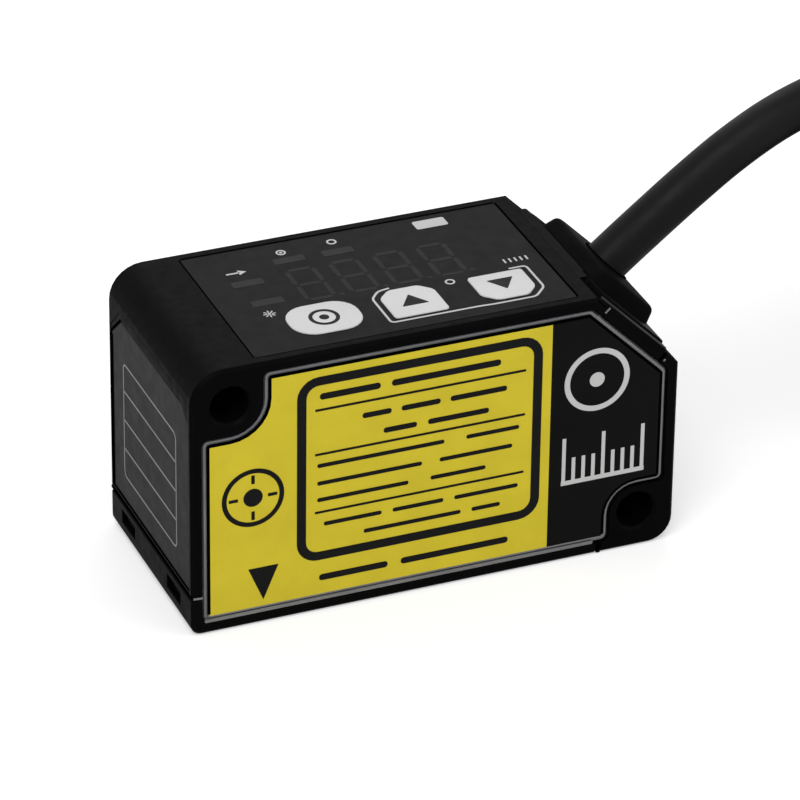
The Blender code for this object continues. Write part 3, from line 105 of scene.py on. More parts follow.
def srgb(red: float, green: float, blue: float) -> Colour:
    """Turn a colour of 0 to 255 per channel, as it is seen, into linear values.

    Args:
        red: The red channel.
        green: The green channel.
        blue: The blue channel.

    Returns:
        The three linear values from 0 to 1.
    """
    def linear(channel: float) -> float:
        """One channel's linear value."""
        share = channel / 255.0
        return share / 12.92 if share <= 0.04045 else ((share + 0.055) / 1.055) ** 2.4

    return linear(red), linear(green), linear(blue)


def shade(colour: Colour, factor: float, lift: float = 0.0) -> Colour:
    """A colour made lighter or darker.

    Args:
        colour: The linear colour.
        factor: What each channel is multiplied by.
        lift: What is then added to each channel.

    Returns:
        The new colour.
    """
    red, green, blue = (channel * factor + lift for channel in colour)
    return red, green, blue


def smooth_step(share: float) -> float:
    """A share from 0 to 1, eased at both ends."""
    share = min(1.0, max(0.0, share))
    return share * share * (3.0 - 2.0 * share)


def pick_up(piece: Piece) -> None:
    """Deselect everything, then select one piece and make it the active one.

    Args:
        piece: The object to work on.
    """
    bpy.ops.object.select_all(action="DESELECT")
    piece.select_set(True)
    bpy.context.view_layer.objects.active = piece


@contextmanager
def editing(piece: Piece, kind: str = "VERT") -> Iterator[None]:
    """Edit a piece's mesh with all of it selected, and leave edit mode at the end.

    Args:
        piece: The object to edit.
        kind: What is selected, VERT, EDGE or FACE.
    """
    pick_up(piece)
    bpy.ops.object.mode_set(mode="EDIT")
    bpy.ops.mesh.select_mode(type=kind)
    bpy.ops.mesh.select_all(action="SELECT")
    try:
        yield
    finally:
        bpy.ops.object.mode_set(mode="OBJECT")


def choose_faces(piece: Piece, test: Callable[[Face], bool]) -> None:
    """In edit mode, select only the faces that pass a test.

    Args:
        piece: The object in edit mode.
        test: Takes a face and says whether it is wanted.
    """
    bpy.ops.mesh.select_all(action="DESELECT")
    shape = bmesh.from_edit_mesh(piece.data)
    for face in shape.faces:
        face.select_set(test(face))
    shape.select_flush_mode()
    bmesh.update_edit_mesh(piece.data)


def looks_up(face: Face) -> bool:
    """Whether a face looks up from its drawing plane."""
    return face.normal.z > FACING


def round_top(piece: Piece, radius: float, steps: int) -> None:
    """Round the edges of a piece's upper face.

    Args:
        piece: The piece on its drawing plane.
        radius: The radius of the rounding.
        steps: How many faces the rounding has.
    """
    with editing(piece, "FACE"):
        choose_faces(piece, looks_up)
        bpy.ops.mesh.bevel(offset=radius, segments=steps, affect="EDGES")


def apply_modifier(piece: Piece, kind: str, **settings: object) -> None:
    """Add a modifier, set it up and apply it.

    Args:
        piece: The object that gets it.
        kind: The modifier's type.
        settings: Its settings by name.
    """
    pick_up(piece)
    modifier = piece.modifiers.new(kind.title(), kind)
    for name, value in settings.items():
        setattr(modifier, name, value)
    bpy.ops.object.modifier_apply(modifier=modifier.name)


def smooth(piece: Piece, degrees: float = 32.0) -> None:
    """Shade a piece smooth where its faces meet at less than an angle."""
    pick_up(piece)
    bpy.ops.object.shade_smooth_by_angle(angle=math.radians(degrees))


def thicken(piece: Piece, low: float, high: float) -> None:
    """Give a flat piece at height zero a thickness from low to high, with its faces outwards.

    Args:
        piece: The flat object, in edit mode or not.
        low: The height of its underside.
        high: The height of its upper side.
    """
    with editing(piece, "FACE"):
        bpy.ops.transform.translate(value=(0.0, 0.0, low))
        bpy.ops.mesh.extrude_region_move(TRANSFORM_OT_translate={"value": (0.0, 0.0, high - low)})
        bpy.ops.mesh.select_all(action="SELECT")
        bpy.ops.mesh.normals_make_consistent(inside=False)


def bar(low: Point, high: Point, radius: float = 0.0, root: float = PRINT_ROOT,
        rise: float = PRINT_RISE) -> Piece:
    """A flat bar between two corners, with rounded corners.

    Args:
        low: Its lower left corner.
        high: Its upper right corner.
        radius: The radius of its corners.
        root: The height of its underside.
        rise: The height of its upper side.

    Returns:
        The new object, in the plane of its face.
    """
    middle = ((low[0] + high[0]) / 2, (low[1] + high[1]) / 2, 0.0)
    bpy.ops.mesh.primitive_plane_add(size=1.0, location=middle)
    piece = bpy.context.object
    with editing(piece):
        bpy.ops.transform.resize(value=(high[0] - low[0], high[1] - low[1], 1.0))
        if radius > 0.0:
            bpy.ops.mesh.bevel(offset=radius, segments=ROUND_STEPS, affect="VERTICES")
    thicken(piece, root, rise)
    return piece


def disc(centre: Point, radius: float, root: float = PRINT_ROOT, rise: float = PRINT_RISE) -> Piece:
    """A flat round dot.

    Args:
        centre: Its middle.
        radius: Its radius.
        root: The height of its underside.
        rise: The height of its upper side.

    Returns:
        The new object, in the plane of its face.
    """
    bpy.ops.mesh.primitive_circle_add(
        vertices=DISC_STEPS, radius=radius, fill_type="NGON", location=(*centre, 0.0)
    )
    piece = bpy.context.object
    thicken(piece, root, rise)
    return piece


def trace(points: Sequence[Point], closed: bool) -> Piece:
    """A line drawn point by point, by extruding one vertex.

    Args:
        points: The line's corners.
        closed: Whether its end meets its start.

    Returns:
        The new object, a wire at height zero.
    """
    bpy.ops.mesh.primitive_plane_add(size=1.0, location=(0.0, 0.0, 0.0))
    piece = bpy.context.object
    with editing(piece):
        bpy.ops.mesh.merge(type="CENTER")
        bpy.ops.transform.translate(value=(*points[0], 0.0))
        route = [*points[1:], points[0]] if closed else points[1:]
        here = points[0]
        for there in route:
            step = (there[0] - here[0], there[1] - here[1], 0.0)
            bpy.ops.mesh.extrude_region_move(TRANSFORM_OT_translate={"value": step})
            here = there
        bpy.ops.mesh.select_all(action="SELECT")
        bpy.ops.mesh.remove_doubles(threshold=MERGE_MM)
    return piece


def field_shape(points: Sequence[Point], radius: float = 0.0, root: float = PRINT_ROOT,
                rise: float = PRINT_RISE) -> Piece:
    """A filled outline with rounded corners.

    Args:
        points: Its corners, all the way round.
        radius: The rounding of its corners.
        root: The height of its underside.
        rise: The height of its upper side.

    Returns:
        The new object, in the plane of its face.
    """
    piece = trace(points, closed=True)
    with editing(piece):
        bpy.ops.mesh.edge_face_add()
        if radius > 0.0:
            bpy.ops.mesh.bevel(offset=radius, segments=ROUND_STEPS, affect="VERTICES")
    thicken(piece, root, rise)
    return piece


def line(points: Sequence[Point], width: float, closed: bool = False, radius: float = 0.0,
         root: float = PRINT_ROOT, rise: float = PRINT_RISE) -> Piece:
    """A printed line of even width along a route.

    Args:
        points: The route's corners.
        width: The line's width.
        closed: Whether its end meets its start.
        radius: The rounding of the corners.
        root: The height of its underside.
        rise: The height of its upper side.

    Returns:
        The new object, in the plane of its face.
    """
    piece = trace(points, closed)
    with editing(piece, "VERT"):
        if radius > 0.0:
            bpy.ops.mesh.bevel(offset=radius, segments=ROUND_STEPS, affect="VERTICES")
            bpy.ops.mesh.select_all(action="SELECT")
    raise_line(piece, width, root, rise)
    return piece


def ring(centre: Point, radius: float, width: float, root: float = PRINT_ROOT,
         rise: float = PRINT_RISE) -> Piece:
    """A printed ring.

    Args:
        centre: Its middle.
        radius: The radius of the line's middle.
        width: The line's width.
        root: The height of its underside.
        rise: The height of its upper side.

    Returns:
        The new object, in the plane of its face.
    """
    bpy.ops.mesh.primitive_circle_add(
        vertices=DISC_STEPS, radius=radius, fill_type="NOTHING", location=(*centre, 0.0)
    )
    piece = bpy.context.object
    raise_line(piece, width, root, rise)
    return piece


def raise_line(piece: Piece, width: float, root: float, rise: float) -> None:
    """Stand a wire up as a wall, then give the wall the line's width.

    Args:
        piece: The wire at height zero.
        width: The line's width.
        root: The height of its underside.
        rise: The height of its upper side.
    """
    with editing(piece, "EDGE"):
        bpy.ops.transform.translate(value=(0.0, 0.0, root))
        bpy.ops.mesh.extrude_region_move(TRANSFORM_OT_translate={"value": (0.0, 0.0, rise - root)})
        bpy.ops.mesh.select_all(action="SELECT")
        bpy.ops.mesh.normals_make_consistent(inside=False)
    apply_modifier(piece, "SOLIDIFY", thickness=width, offset=0.0, use_even_offset=True)
    with editing(piece, "FACE"):
        bpy.ops.mesh.normals_make_consistent(inside=False)


def polar(centre: Point, radius: float, degrees: float) -> Point:
    """The point at a distance and an angle from a centre.

    Args:
        centre: The centre.
        radius: The distance.
        degrees: The angle, counter-clockwise from the right.

    Returns:
        The point.
    """
    turn = math.radians(degrees)
    return centre[0] + radius * math.cos(turn), centre[1] + radius * math.sin(turn)


def face_top(z: float) -> Matrix:
    """The plane of a face that looks up, at a height in metres."""
    return Matrix(((MM, 0, 0, 0), (0, MM, 0, 0), (0, 0, MM, z), (0, 0, 0, 1)))


def face_side(y: float) -> Matrix:
    """The plane of a face that looks along -Y, with its own up along +Z."""
    return Matrix(((MM, 0, 0, 0), (0, 0, -MM, y), (0, MM, 0, 0), (0, 0, 0, 1)))


def face_end(x: float) -> Matrix:
    """The plane of a face that looks along -X, with its own right along -Y."""
    return Matrix(((0, 0, -MM, x), (-MM, 0, 0, 0), (0, MM, 0, 0), (0, 0, 0, 1)))


def face_across(x: float) -> Matrix:
    """The plane across the length that looks along +X, with its own right along +Y."""
    return Matrix(((0, 0, MM, x), (MM, 0, 0, 0), (0, MM, 0, 0), (0, 0, 0, 1)))


def face_corner() -> Matrix:
    """The plane of the cut corner, with its own right down the slope and its own up along +Y."""
    slant = MM * math.sqrt(0.5)
    return Matrix(((slant, 0, slant, CORNER_X), (0, MM, 0, 0), (-slant, 0, slant, CORNER_Z), (0, 0, 0, 1)))


def dress(piece: Piece, finish: bpy.types.Material) -> None:
    """Give a piece one finish all over."""
    piece.data.materials.clear()
    piece.data.materials.append(finish)
    for polygon in piece.data.polygons if piece.type == "MESH" else ():
        polygon.material_index = 0


@dataclass(frozen=True)
class Cloud:
    """Soft noise as a share.

    Attributes:
        size: The features' size in metres.
        detail: How many finer layers it has.
        most: The greatest share.
        first: The noise where the share starts to rise from 0.
        last: The noise where the share is greatest.
    """

    size: float
    detail: float
    most: float = 1.0
    first: float = 0.3
    last: float = 0.7


class Desk:
    """A material's node tree, with short ways to lay out the nodes that the finishes share."""

    edge_cosines = (0.85, 0.995)

    def __init__(self, name: str) -> None:
        """Start a material with its shader alone."""
        self.material = bpy.data.materials.new(name)
        self.material.use_nodes = True
        self.tree = self.material.node_tree
        self.shader = self.tree.nodes["Principled BSDF"]

    def node(self, kind: str, **settings: object) -> bpy.types.Node:
        """Add a node and set its properties.

        Args:
            kind: The node's type without its ShaderNode prefix.
            settings: Its properties by name.

        Returns:
            The new node.
        """
        node = self.tree.nodes.new("ShaderNode" + kind)
        for name, value in settings.items():
            setattr(node, name, value)
        return node

    def join(self, out: Socket, into: Socket) -> None:
        """Link one socket to another."""
        self.tree.links.new(out, into)

    def set(self, name: str, value: float | Colour) -> None:
        """Set a socket of the shader to a constant."""
        socket = self.shader.inputs[name]
        socket.default_value = (*value, 1.0) if isinstance(value, tuple) else value

    def feed(self, name: str, source: Socket) -> None:
        """Link a socket to one of the shader's."""
        self.join(source, self.shader.inputs[name])

    def where(self, scale: Place = (1.0, 1.0, 1.0)) -> Socket:
        """The object's own coordinates, scaled.

        Args:
            scale: How much the pattern is squeezed along each axis.

        Returns:
            The mapped vector.
        """
        coordinates = self.node("TexCoord")
        mapping = self.node("Mapping")
        mapping.inputs["Scale"].default_value = scale
        self.join(coordinates.outputs["Object"], mapping.inputs["Vector"])
        return mapping.outputs["Vector"]

    def noise(self, size: float, detail: float = 2.0, stretch: Place = (1.0, 1.0, 1.0)) -> Socket:
        """Soft noise with features of about one size.

        Args:
            size: The features' size in metres.
            detail: How many finer layers it has.
            stretch: How much it is squeezed along each axis.

        Returns:
            Its value, about 0.5 on average.
        """
        noise = self.node("TexNoise")
        noise.inputs["Scale"].default_value = 1.0 / size
        noise.inputs["Detail"].default_value = detail
        self.join(self.where(stretch), noise.inputs["Vector"])
        return noise.outputs["Fac"]

    def cells(self, size: float, feature: str = "F1") -> Socket:
        """How far it is to a cell's middle or edge, in a pattern of cells of about one size."""
        cells = self.node("TexVoronoi", feature=feature)
        cells.inputs["Scale"].default_value = 1.0 / size
        self.join(self.where(), cells.inputs["Vector"])
        return cells.outputs["Distance"]

    def spread(self, value: Socket, low: float, high: float, first: float = 0.3,
               last: float = 0.7) -> Socket:
        """Map a value's range onto another.

        Args:
            value: The value to map.
            low: What it gives at first.
            high: What it gives at last.
            first: Where its range starts.
            last: Where its range ends.

        Returns:
            The mapped value.
        """
        spread = self.node("MapRange")
        for name, number in (("From Min", first), ("From Max", last), ("To Min", low), ("To Max", high)):
            spread.inputs[name].default_value = number
        self.join(value, spread.inputs["Value"])
        return spread.outputs["Result"]

    def clouds(self, cloud: Cloud) -> Socket:
        """Soft noise as a share that is 0 in some places and the cloud's most in others."""
        return self.spread(self.noise(cloud.size, cloud.detail), 0.0, cloud.most, cloud.first, cloud.last)

    def blend(self, share: Socket, first: Colour | Socket, second: Colour | Socket) -> Socket:
        """Mix two colours by a share.

        Args:
            share: How much of the second one there is.
            first: The first colour or a socket that gives it.
            second: The second colour or a socket that gives it.

        Returns:
            The mixed colour.
        """
        mix = self.node("Mix", data_type="RGBA")
        self.join(share, mix.inputs[0])
        for socket, colour in ((mix.inputs[6], first), (mix.inputs[7], second)):
            if isinstance(colour, tuple):
                socket.default_value = (*colour, 1.0)
            else:
                self.join(colour, socket)
        return mix.outputs[2]

    def sum(self, kind: str, first: Socket | float, second: Socket | float) -> Socket:
        """Work out one sum of two values.

        Args:
            kind: The sum, as a Math node names it.
            first: The first value.
            second: The second value.

        Returns:
            The result.
        """
        sum_node = self.node("Math", operation=kind)
        for socket, value in zip(sum_node.inputs, (first, second)):
            if isinstance(value, (int, float)):
                socket.default_value = value
            else:
                self.join(value, socket)
        return sum_node.outputs[0]

    def axes(self) -> tuple[Socket, Socket, Socket]:
        """The object's own coordinates in metres, one by one."""
        split = self.node("SeparateXYZ")
        self.join(self.where(), split.inputs[0])
        return split.outputs[0], split.outputs[1], split.outputs[2]

    def soft_edges(self, radius: float) -> Socket:
        """The surface's normal, rounded where two faces meet."""
        bevel = self.node("Bevel", samples=4)
        bevel.inputs["Radius"].default_value = radius
        return bevel.outputs["Normal"]

    def near_edges(self, radius: float) -> Socket:
        """A share that is 1 along edges and 0 on flat faces."""
        geometry = self.node("NewGeometry")
        product = self.node("VectorMath", operation="DOT_PRODUCT")
        self.join(self.soft_edges(radius), product.inputs[0])
        self.join(geometry.outputs["Normal"], product.inputs[1])
        return self.spread(product.outputs["Value"], 1.0, 0.0, *self.edge_cosines)

    def relief(self, height: Socket, depth: float, edges: float = 0.0) -> None:
        """Bump the surface by a height.

        Args:
            height: The height, about 0 to 1.
            depth: How deep that is in metres.
            edges: The radius that rounds the edges, or 0.
        """
        bump = self.node("Bump")
        bump.inputs["Strength"].default_value = 1.0
        bump.inputs["Distance"].default_value = depth
        self.join(height, bump.inputs["Height"])
        if edges > 0.0:
            self.join(self.soft_edges(edges), bump.inputs["Normal"])
        self.feed("Normal", bump.outputs["Normal"])


@dataclass(frozen=True)
class Finish:
    """What every finish has.

    Attributes:
        name: The finish's name.
        colour: Its linear colour.
        roughness: Its mean roughness.
        specular: How much it reflects.
        patches: The size in metres of its patches of roughness, and how far they go down and up.
    """

    name: str
    colour: Colour
    roughness: float = 0.5
    specular: float = 0.3
    patches: Place = (0.0016, 0.0, 0.05)

    def make(self) -> bpy.types.Material:
        """Build the finish's material.

        Returns:
            The material.
        """
        desk = Desk(self.name)
        desk.set("Roughness", self.roughness)
        desk.set("Specular IOR Level", self.specular)
        self.paint(desk)
        return desk.material

    def wander(self, desk: Desk) -> None:
        """Let the roughness go a little below and above its mean, in patches."""
        size, below, above = self.patches
        rough = desk.spread(desk.noise(size, 3.0), self.roughness - below, self.roughness + above)
        desk.feed("Roughness", rough)

    def paint(self, desk: Desk) -> None:
        """Lay out the finish's own nodes."""
        raise NotImplementedError


@dataclass(frozen=True)
class GrainedShell(Finish):
    """A painted casting or a moulding: fine grain, soft edges that are worn a little lighter."""

    grain: float = 0.00012
    depth: float = 0.000006
    worn: Colour = (0.05, 0.05, 0.05)
    wear: Cloud = Cloud(0.0012, 3.0, 0.5)
    edge: float = 0.0001
    tones: Cloud = Cloud(0.004, 4.0)
    lighter: float = 1.35
    patches: Place = (0.0008, 0.05, 0.06)

    def paint(self, desk: Desk) -> None:
        """Grain in the relief, mottled roughness, and wear along the edges."""
        tone = desk.blend(desk.clouds(self.tones), self.colour, shade(self.colour, self.lighter))
        worn = desk.sum("MULTIPLY", desk.near_edges(self.edge), desk.clouds(self.wear))
        desk.feed("Base Color", desk.blend(worn, tone, self.worn))
        self.wander(desk)
        desk.relief(desk.noise(self.grain, 3.0), self.depth, edges=self.edge)


@dataclass(frozen=True)
class PrintedField(Finish):
    """A printed film in two colours that meet at one place along the length."""

    second: Colour = (0.01, 0.01, 0.01)
    border: float = 0.01
    grain: float = 0.0002
    depth: float = 0.000002
    tones: Cloud = Cloud(0.0035, 4.0)
    darkest: float = 0.95
    lightest: float = 1.04
    second_lightest: float = 1.25
    specks: Cloud = Cloud(0.00025, 2.0, 0.06, 0.55, 0.75)
    speck_tone: float = 0.6
    patches: Place = (0.0015, 0.05, 0.07)

    def paint(self, desk: Desk) -> None:
        """Two inks with faint unevenness under a satin film."""
        past = desk.sum("GREATER_THAN", desk.axes()[0], self.border)
        uneven = desk.clouds(self.tones)
        ink = desk.blend(uneven, shade(self.colour, self.darkest), shade(self.colour, self.lightest))
        ink = desk.blend(desk.clouds(self.specks), ink, shade(self.colour, self.speck_tone))
        dark = desk.blend(uneven, self.second, shade(self.second, self.second_lightest))
        desk.feed("Base Color", desk.blend(past, ink, dark))
        self.wander(desk)
        desk.relief(desk.noise(self.grain), self.depth)


@dataclass(frozen=True)
class MattFilm(Finish):
    """A matt film or a layer of ink: fine even texture and a slight cloudiness."""

    grain: float = 0.00009
    depth: float = 0.0000025
    cloud: float = 0.18
    tones: Cloud = Cloud(0.005, 4.0)
    dust: Cloud = Cloud(0.00035, 2.0, 0.10, 0.62, 0.8)
    dust_tone: Point = (1.6, 0.01)
    patches: Place = (0.0012, 0.04, 0.05)

    def paint(self, desk: Desk) -> None:
        """Cloudy colour, and a texture finer than the eye parts."""
        darker, lighter = shade(self.colour, 1.0 - self.cloud / 2), shade(self.colour, 1.0 + self.cloud)
        tone = desk.blend(desk.clouds(self.tones), darker, lighter)
        desk.feed("Base Color", desk.blend(desk.clouds(self.dust), tone, shade(self.colour, *self.dust_tone)))
        self.wander(desk)
        desk.relief(desk.noise(self.grain), self.depth)


@dataclass(frozen=True)
class DrawnMetal(Finish):
    """A metal with the fine lines of its drawing, turning or rolling along one axis."""

    lines: Place = (0.02, 1.0, 1.0)
    line_size: float = 0.00012
    metallic: float = 1.0
    depth: float = 0.0000015
    line_tone: float = 0.88
    line_gloss: Point = (0.06, 0.10)
    tarnish: float = 0.25
    tarnish_tone: float = 0.55

    def paint(self, desk: Desk) -> None:
        """Lines in the colour, the roughness and the relief, and a slow tarnish over them."""
        desk.set("Metallic", self.metallic)
        lines = desk.noise(self.line_size, 3.0, self.lines)
        tone = desk.blend(desk.spread(lines, 0.0, 1.0), shade(self.colour, self.line_tone), self.colour)
        dull = desk.clouds(Cloud(0.0028, 4.0, self.tarnish, 0.4, 0.75))
        desk.feed("Base Color", desk.blend(dull, tone, shade(self.colour, self.tarnish_tone)))
        below, above = self.line_gloss
        desk.feed("Roughness", desk.spread(lines, self.roughness - below, self.roughness + above))
        desk.relief(lines, self.depth)


@dataclass(frozen=True)
class SoftSheath(Finish):
    """Extruded vinyl or moulded rubber: dull, a little uneven, with fine scuffs."""

    grain: float = 0.0002
    depth: float = 0.000006
    scuff: Colour = (0.06, 0.06, 0.06)
    waves: Cloud = Cloud(0.006, 3.0)
    wave_tone: float = 1.4
    scuffs: Cloud = Cloud(0.0011, 5.0, 0.35, 0.60, 0.78)
    patches: Place = (0.0018, 0.06, 0.08)

    def paint(self, desk: Desk) -> None:
        """A dull skin with slow waves, grain and light scuffs."""
        tone = desk.blend(desk.clouds(self.waves), self.colour, shade(self.colour, self.wave_tone))
        desk.feed("Base Color", desk.blend(desk.clouds(self.scuffs), tone, self.scuff))
        self.wander(desk)
        desk.relief(desk.noise(self.grain, 4.0), self.depth)


@dataclass(frozen=True)
class ClearPart(Finish):
    """Clear glass or acrylic, faintly tinted, with a trace of dust."""

    refraction: float = 1.49
    clearness: float = 1.0
    ripple: float = 0.0012
    depth: float = 0.000001
    dust: Cloud = Cloud(0.0009, 4.0, 0.12, 0.55, 0.8)
    dust_tone: float = 0.8

    def paint(self, desk: Desk) -> None:
        """Light goes through, and dust makes it a little less clear in places."""
        desk.set("IOR", self.refraction)
        desk.set("Transmission Weight", self.clearness)
        dusty = shade(self.colour, self.dust_tone)
        desk.feed("Base Color", desk.blend(desk.clouds(self.dust), self.colour, dusty))
        self.wander(desk)
        desk.relief(desk.noise(self.ripple), self.depth)


@dataclass(frozen=True)
class CircuitMask(Finish):
    """Solder mask over copper tracks, with tinned pads here and there."""

    track: Colour = (0.02, 0.16, 0.07)
    pad: Colour = (0.55, 0.53, 0.48)
    pitch: float = 0.0011
    pad_pitch: float = 0.00099
    track_edge: Point = (0.04, 0.09)
    pad_edge: Point = (0.11, 0.14)
    gloss: Point = (0.28, 0.42)
    gloss_size: float = 0.001
    depth: float = 0.00002

    def paint(self, desk: Desk) -> None:
        """Tracks stand up under the mask, and the pads shine through openings in it."""
        track = desk.spread(desk.cells(self.pitch, "DISTANCE_TO_EDGE"), 1.0, 0.0, *self.track_edge)
        pads = desk.spread(desk.cells(self.pad_pitch), 1.0, 0.0, *self.pad_edge)
        mask = desk.blend(track, self.colour, self.track)
        desk.feed("Base Color", desk.blend(pads, mask, self.pad))
        desk.feed("Metallic", pads)
        desk.feed("Roughness", desk.spread(desk.noise(self.gloss_size), *self.gloss))
        desk.relief(desk.sum("ADD", track, pads), self.depth)


@dataclass(frozen=True)
class WovenStrap(Finish):
    """A woven strap: warp and weft that go over and under each other."""

    pitch: float = 0.0006
    depth: float = 0.00006
    tones: Point = (0.5, 1.6)
    fuzz: Cloud = Cloud(0.00015, 4.0, 0.5)
    fuzz_tone: float = 2.2

    def paint(self, desk: Desk) -> None:
        """Two crossed waves in the relief and the colour, with fuzz over them."""
        across, along, up = desk.axes()
        beat = math.tau / self.pitch
        weft = desk.sum("SINE", desk.sum("MULTIPLY", across, beat), 0.0)
        warp = desk.sum("SINE", desk.sum("MULTIPLY", desk.sum("ADD", along, up), beat), 0.0)
        weave = desk.spread(desk.sum("MULTIPLY", weft, warp), 0.0, 1.0, -1.0, 1.0)
        fuzz = desk.clouds(self.fuzz)
        dark, light = (shade(self.colour, tone) for tone in self.tones)
        woven = desk.blend(weave, dark, light)
        desk.feed("Base Color", desk.blend(fuzz, woven, shade(self.colour, self.fuzz_tone)))
        desk.relief(desk.sum("ADD", weave, fuzz), self.depth)


class FinishSet:
    """Every finish of the sensor, made once and handed out by name."""

    recipes: tuple[Finish, ...] = (
        GrainedShell("black_paint", srgb(4, 4, 5), 0.46, 0.021, worn=srgb(26, 26, 28)),
        GrainedShell("dull_paint", srgb(6, 6, 6), 0.70, 0.006, worn=srgb(20, 20, 21)),
        GrainedShell("black_moulding", srgb(5, 5, 5), 0.44, 0.022, grain=0.00022, worn=srgb(26, 26, 27)),
        GrainedShell("bench_moulding", srgb(40, 40, 42), 0.60, 0.3, grain=0.0003),
        GrainedShell("grey_moulding", srgb(88, 88, 92), 0.45, 0.4, worn=srgb(140, 140, 140)),
        GrainedShell("white_moulding", srgb(226, 222, 208), 0.45, 0.4, worn=srgb(240, 238, 230)),
        GrainedShell("epoxy_black", srgb(24, 24, 26), 0.38, 0.4, grain=0.00008, worn=srgb(60, 60, 62)),
        GrainedShell("lamp_resin", srgb(232, 226, 190), 0.30, 0.5, worn=srgb(240, 236, 220)),
        PrintedField("plate_label", srgb(205, 187, 50), 0.42, 0.05, second=srgb(10, 10, 10), border=0.01025),
        MattFilm("display_film", srgb(15, 15, 16), 0.42, 0.037),
        MattFilm("end_film", srgb(32, 32, 33), 0.46, 0.05),
        MattFilm("black_ink", srgb(17, 17, 18), 0.45, 0.07),
        MattFilm("light_ink", srgb(190, 190, 190), 0.50, 0.12, cloud=0.06),
        MattFilm("faint_ink", srgb(132, 132, 133), 0.50, 0.12, cloud=0.10),
        MattFilm("key_ink", srgb(205, 205, 205), 0.40, 0.15, cloud=0.05),
        MattFilm("smoked_window", srgb(29, 29, 30), 0.34, 0.052),
        MattFilm("dim_segment", srgb(24, 24, 24), 0.36, 0.050),
        # Near-black with no reflection: painted shade in joints and gaps, and a painted shadow at the boot's
        # foot.
        MattFilm("dark_gap", srgb(2, 2, 2), 0.80, 0.0, cloud=0.3),
        # Light grey for the short ticks on the housing's rim.
        MattFilm("scuffed_edge", srgb(112, 112, 113), 0.40, 0.10, cloud=0.35),
        # Lighter grey for the strip on the corner lip's edge: a painted highlight.
        MattFilm("lip_edge", srgb(54, 54, 55), 0.40, 0.04, cloud=0.5),
        DrawnMetal("grey_plate", srgb(134, 134, 137), 0.42, metallic=0.75, tarnish=0.5),
        DrawnMetal("turned_steel", srgb(176, 176, 180), 0.30, lines=(1.0, 0.05, 1.0)),
        DrawnMetal("turned_brass", srgb(196, 160, 84), 0.30, lines=(1.0, 1.0, 0.05)),
        DrawnMetal("gilt_can", srgb(190, 172, 120), 0.26, lines=(1.0, 1.0, 0.05)),
        DrawnMetal("tinned_copper", srgb(200, 196, 188), 0.32, lines=(0.1, 1.0, 1.0)),
        SoftSheath("boot_rubber", srgb(7, 7, 7), 0.62, 0.015, scuff=srgb(18, 18, 19)),
        SoftSheath("cable_vinyl", srgb(17, 17, 18), 0.42, 0.08, scuff=srgb(34, 34, 35)),
        SoftSheath("gasket_rubber", srgb(22, 22, 22), 0.70, 0.2, scuff=srgb(40, 40, 40)),
        SoftSheath("lead_brown", srgb(105, 60, 38), 0.42, 0.3, scuff=srgb(140, 100, 76)),
        SoftSheath("lead_blue", srgb(34, 88, 178), 0.42, 0.3, scuff=srgb(90, 130, 196)),
        SoftSheath("lead_black", srgb(26, 26, 27), 0.42, 0.3, scuff=srgb(62, 62, 62)),
        SoftSheath("lead_grey", srgb(138, 138, 140), 0.42, 0.3, scuff=srgb(170, 170, 170)),
        SoftSheath("lead_pink", srgb(226, 140, 158), 0.42, 0.3, scuff=srgb(236, 176, 188)),
        ClearPart("clear_acrylic", srgb(226, 230, 232), 0.04, 0.5),
        ClearPart("lens_glass", srgb(236, 240, 246), 0.02, 0.5, refraction=1.6),
        ClearPart("light_pipe", srgb(228, 230, 230), 0.12, 0.5, clearness=0.85),
        CircuitMask("circuit_mask", srgb(14, 70, 38), 0.35, 0.4),
        WovenStrap("woven_strap", srgb(30, 30, 32), 0.85, 0.2),
    )

    def __init__(self) -> None:
        """Make each recipe's material."""
        self.materials = {recipe.name: recipe.make() for recipe in self.recipes}

    def __getitem__(self, name: str) -> bpy.types.Material:
        """The material of one finish."""
        return self.materials[name]


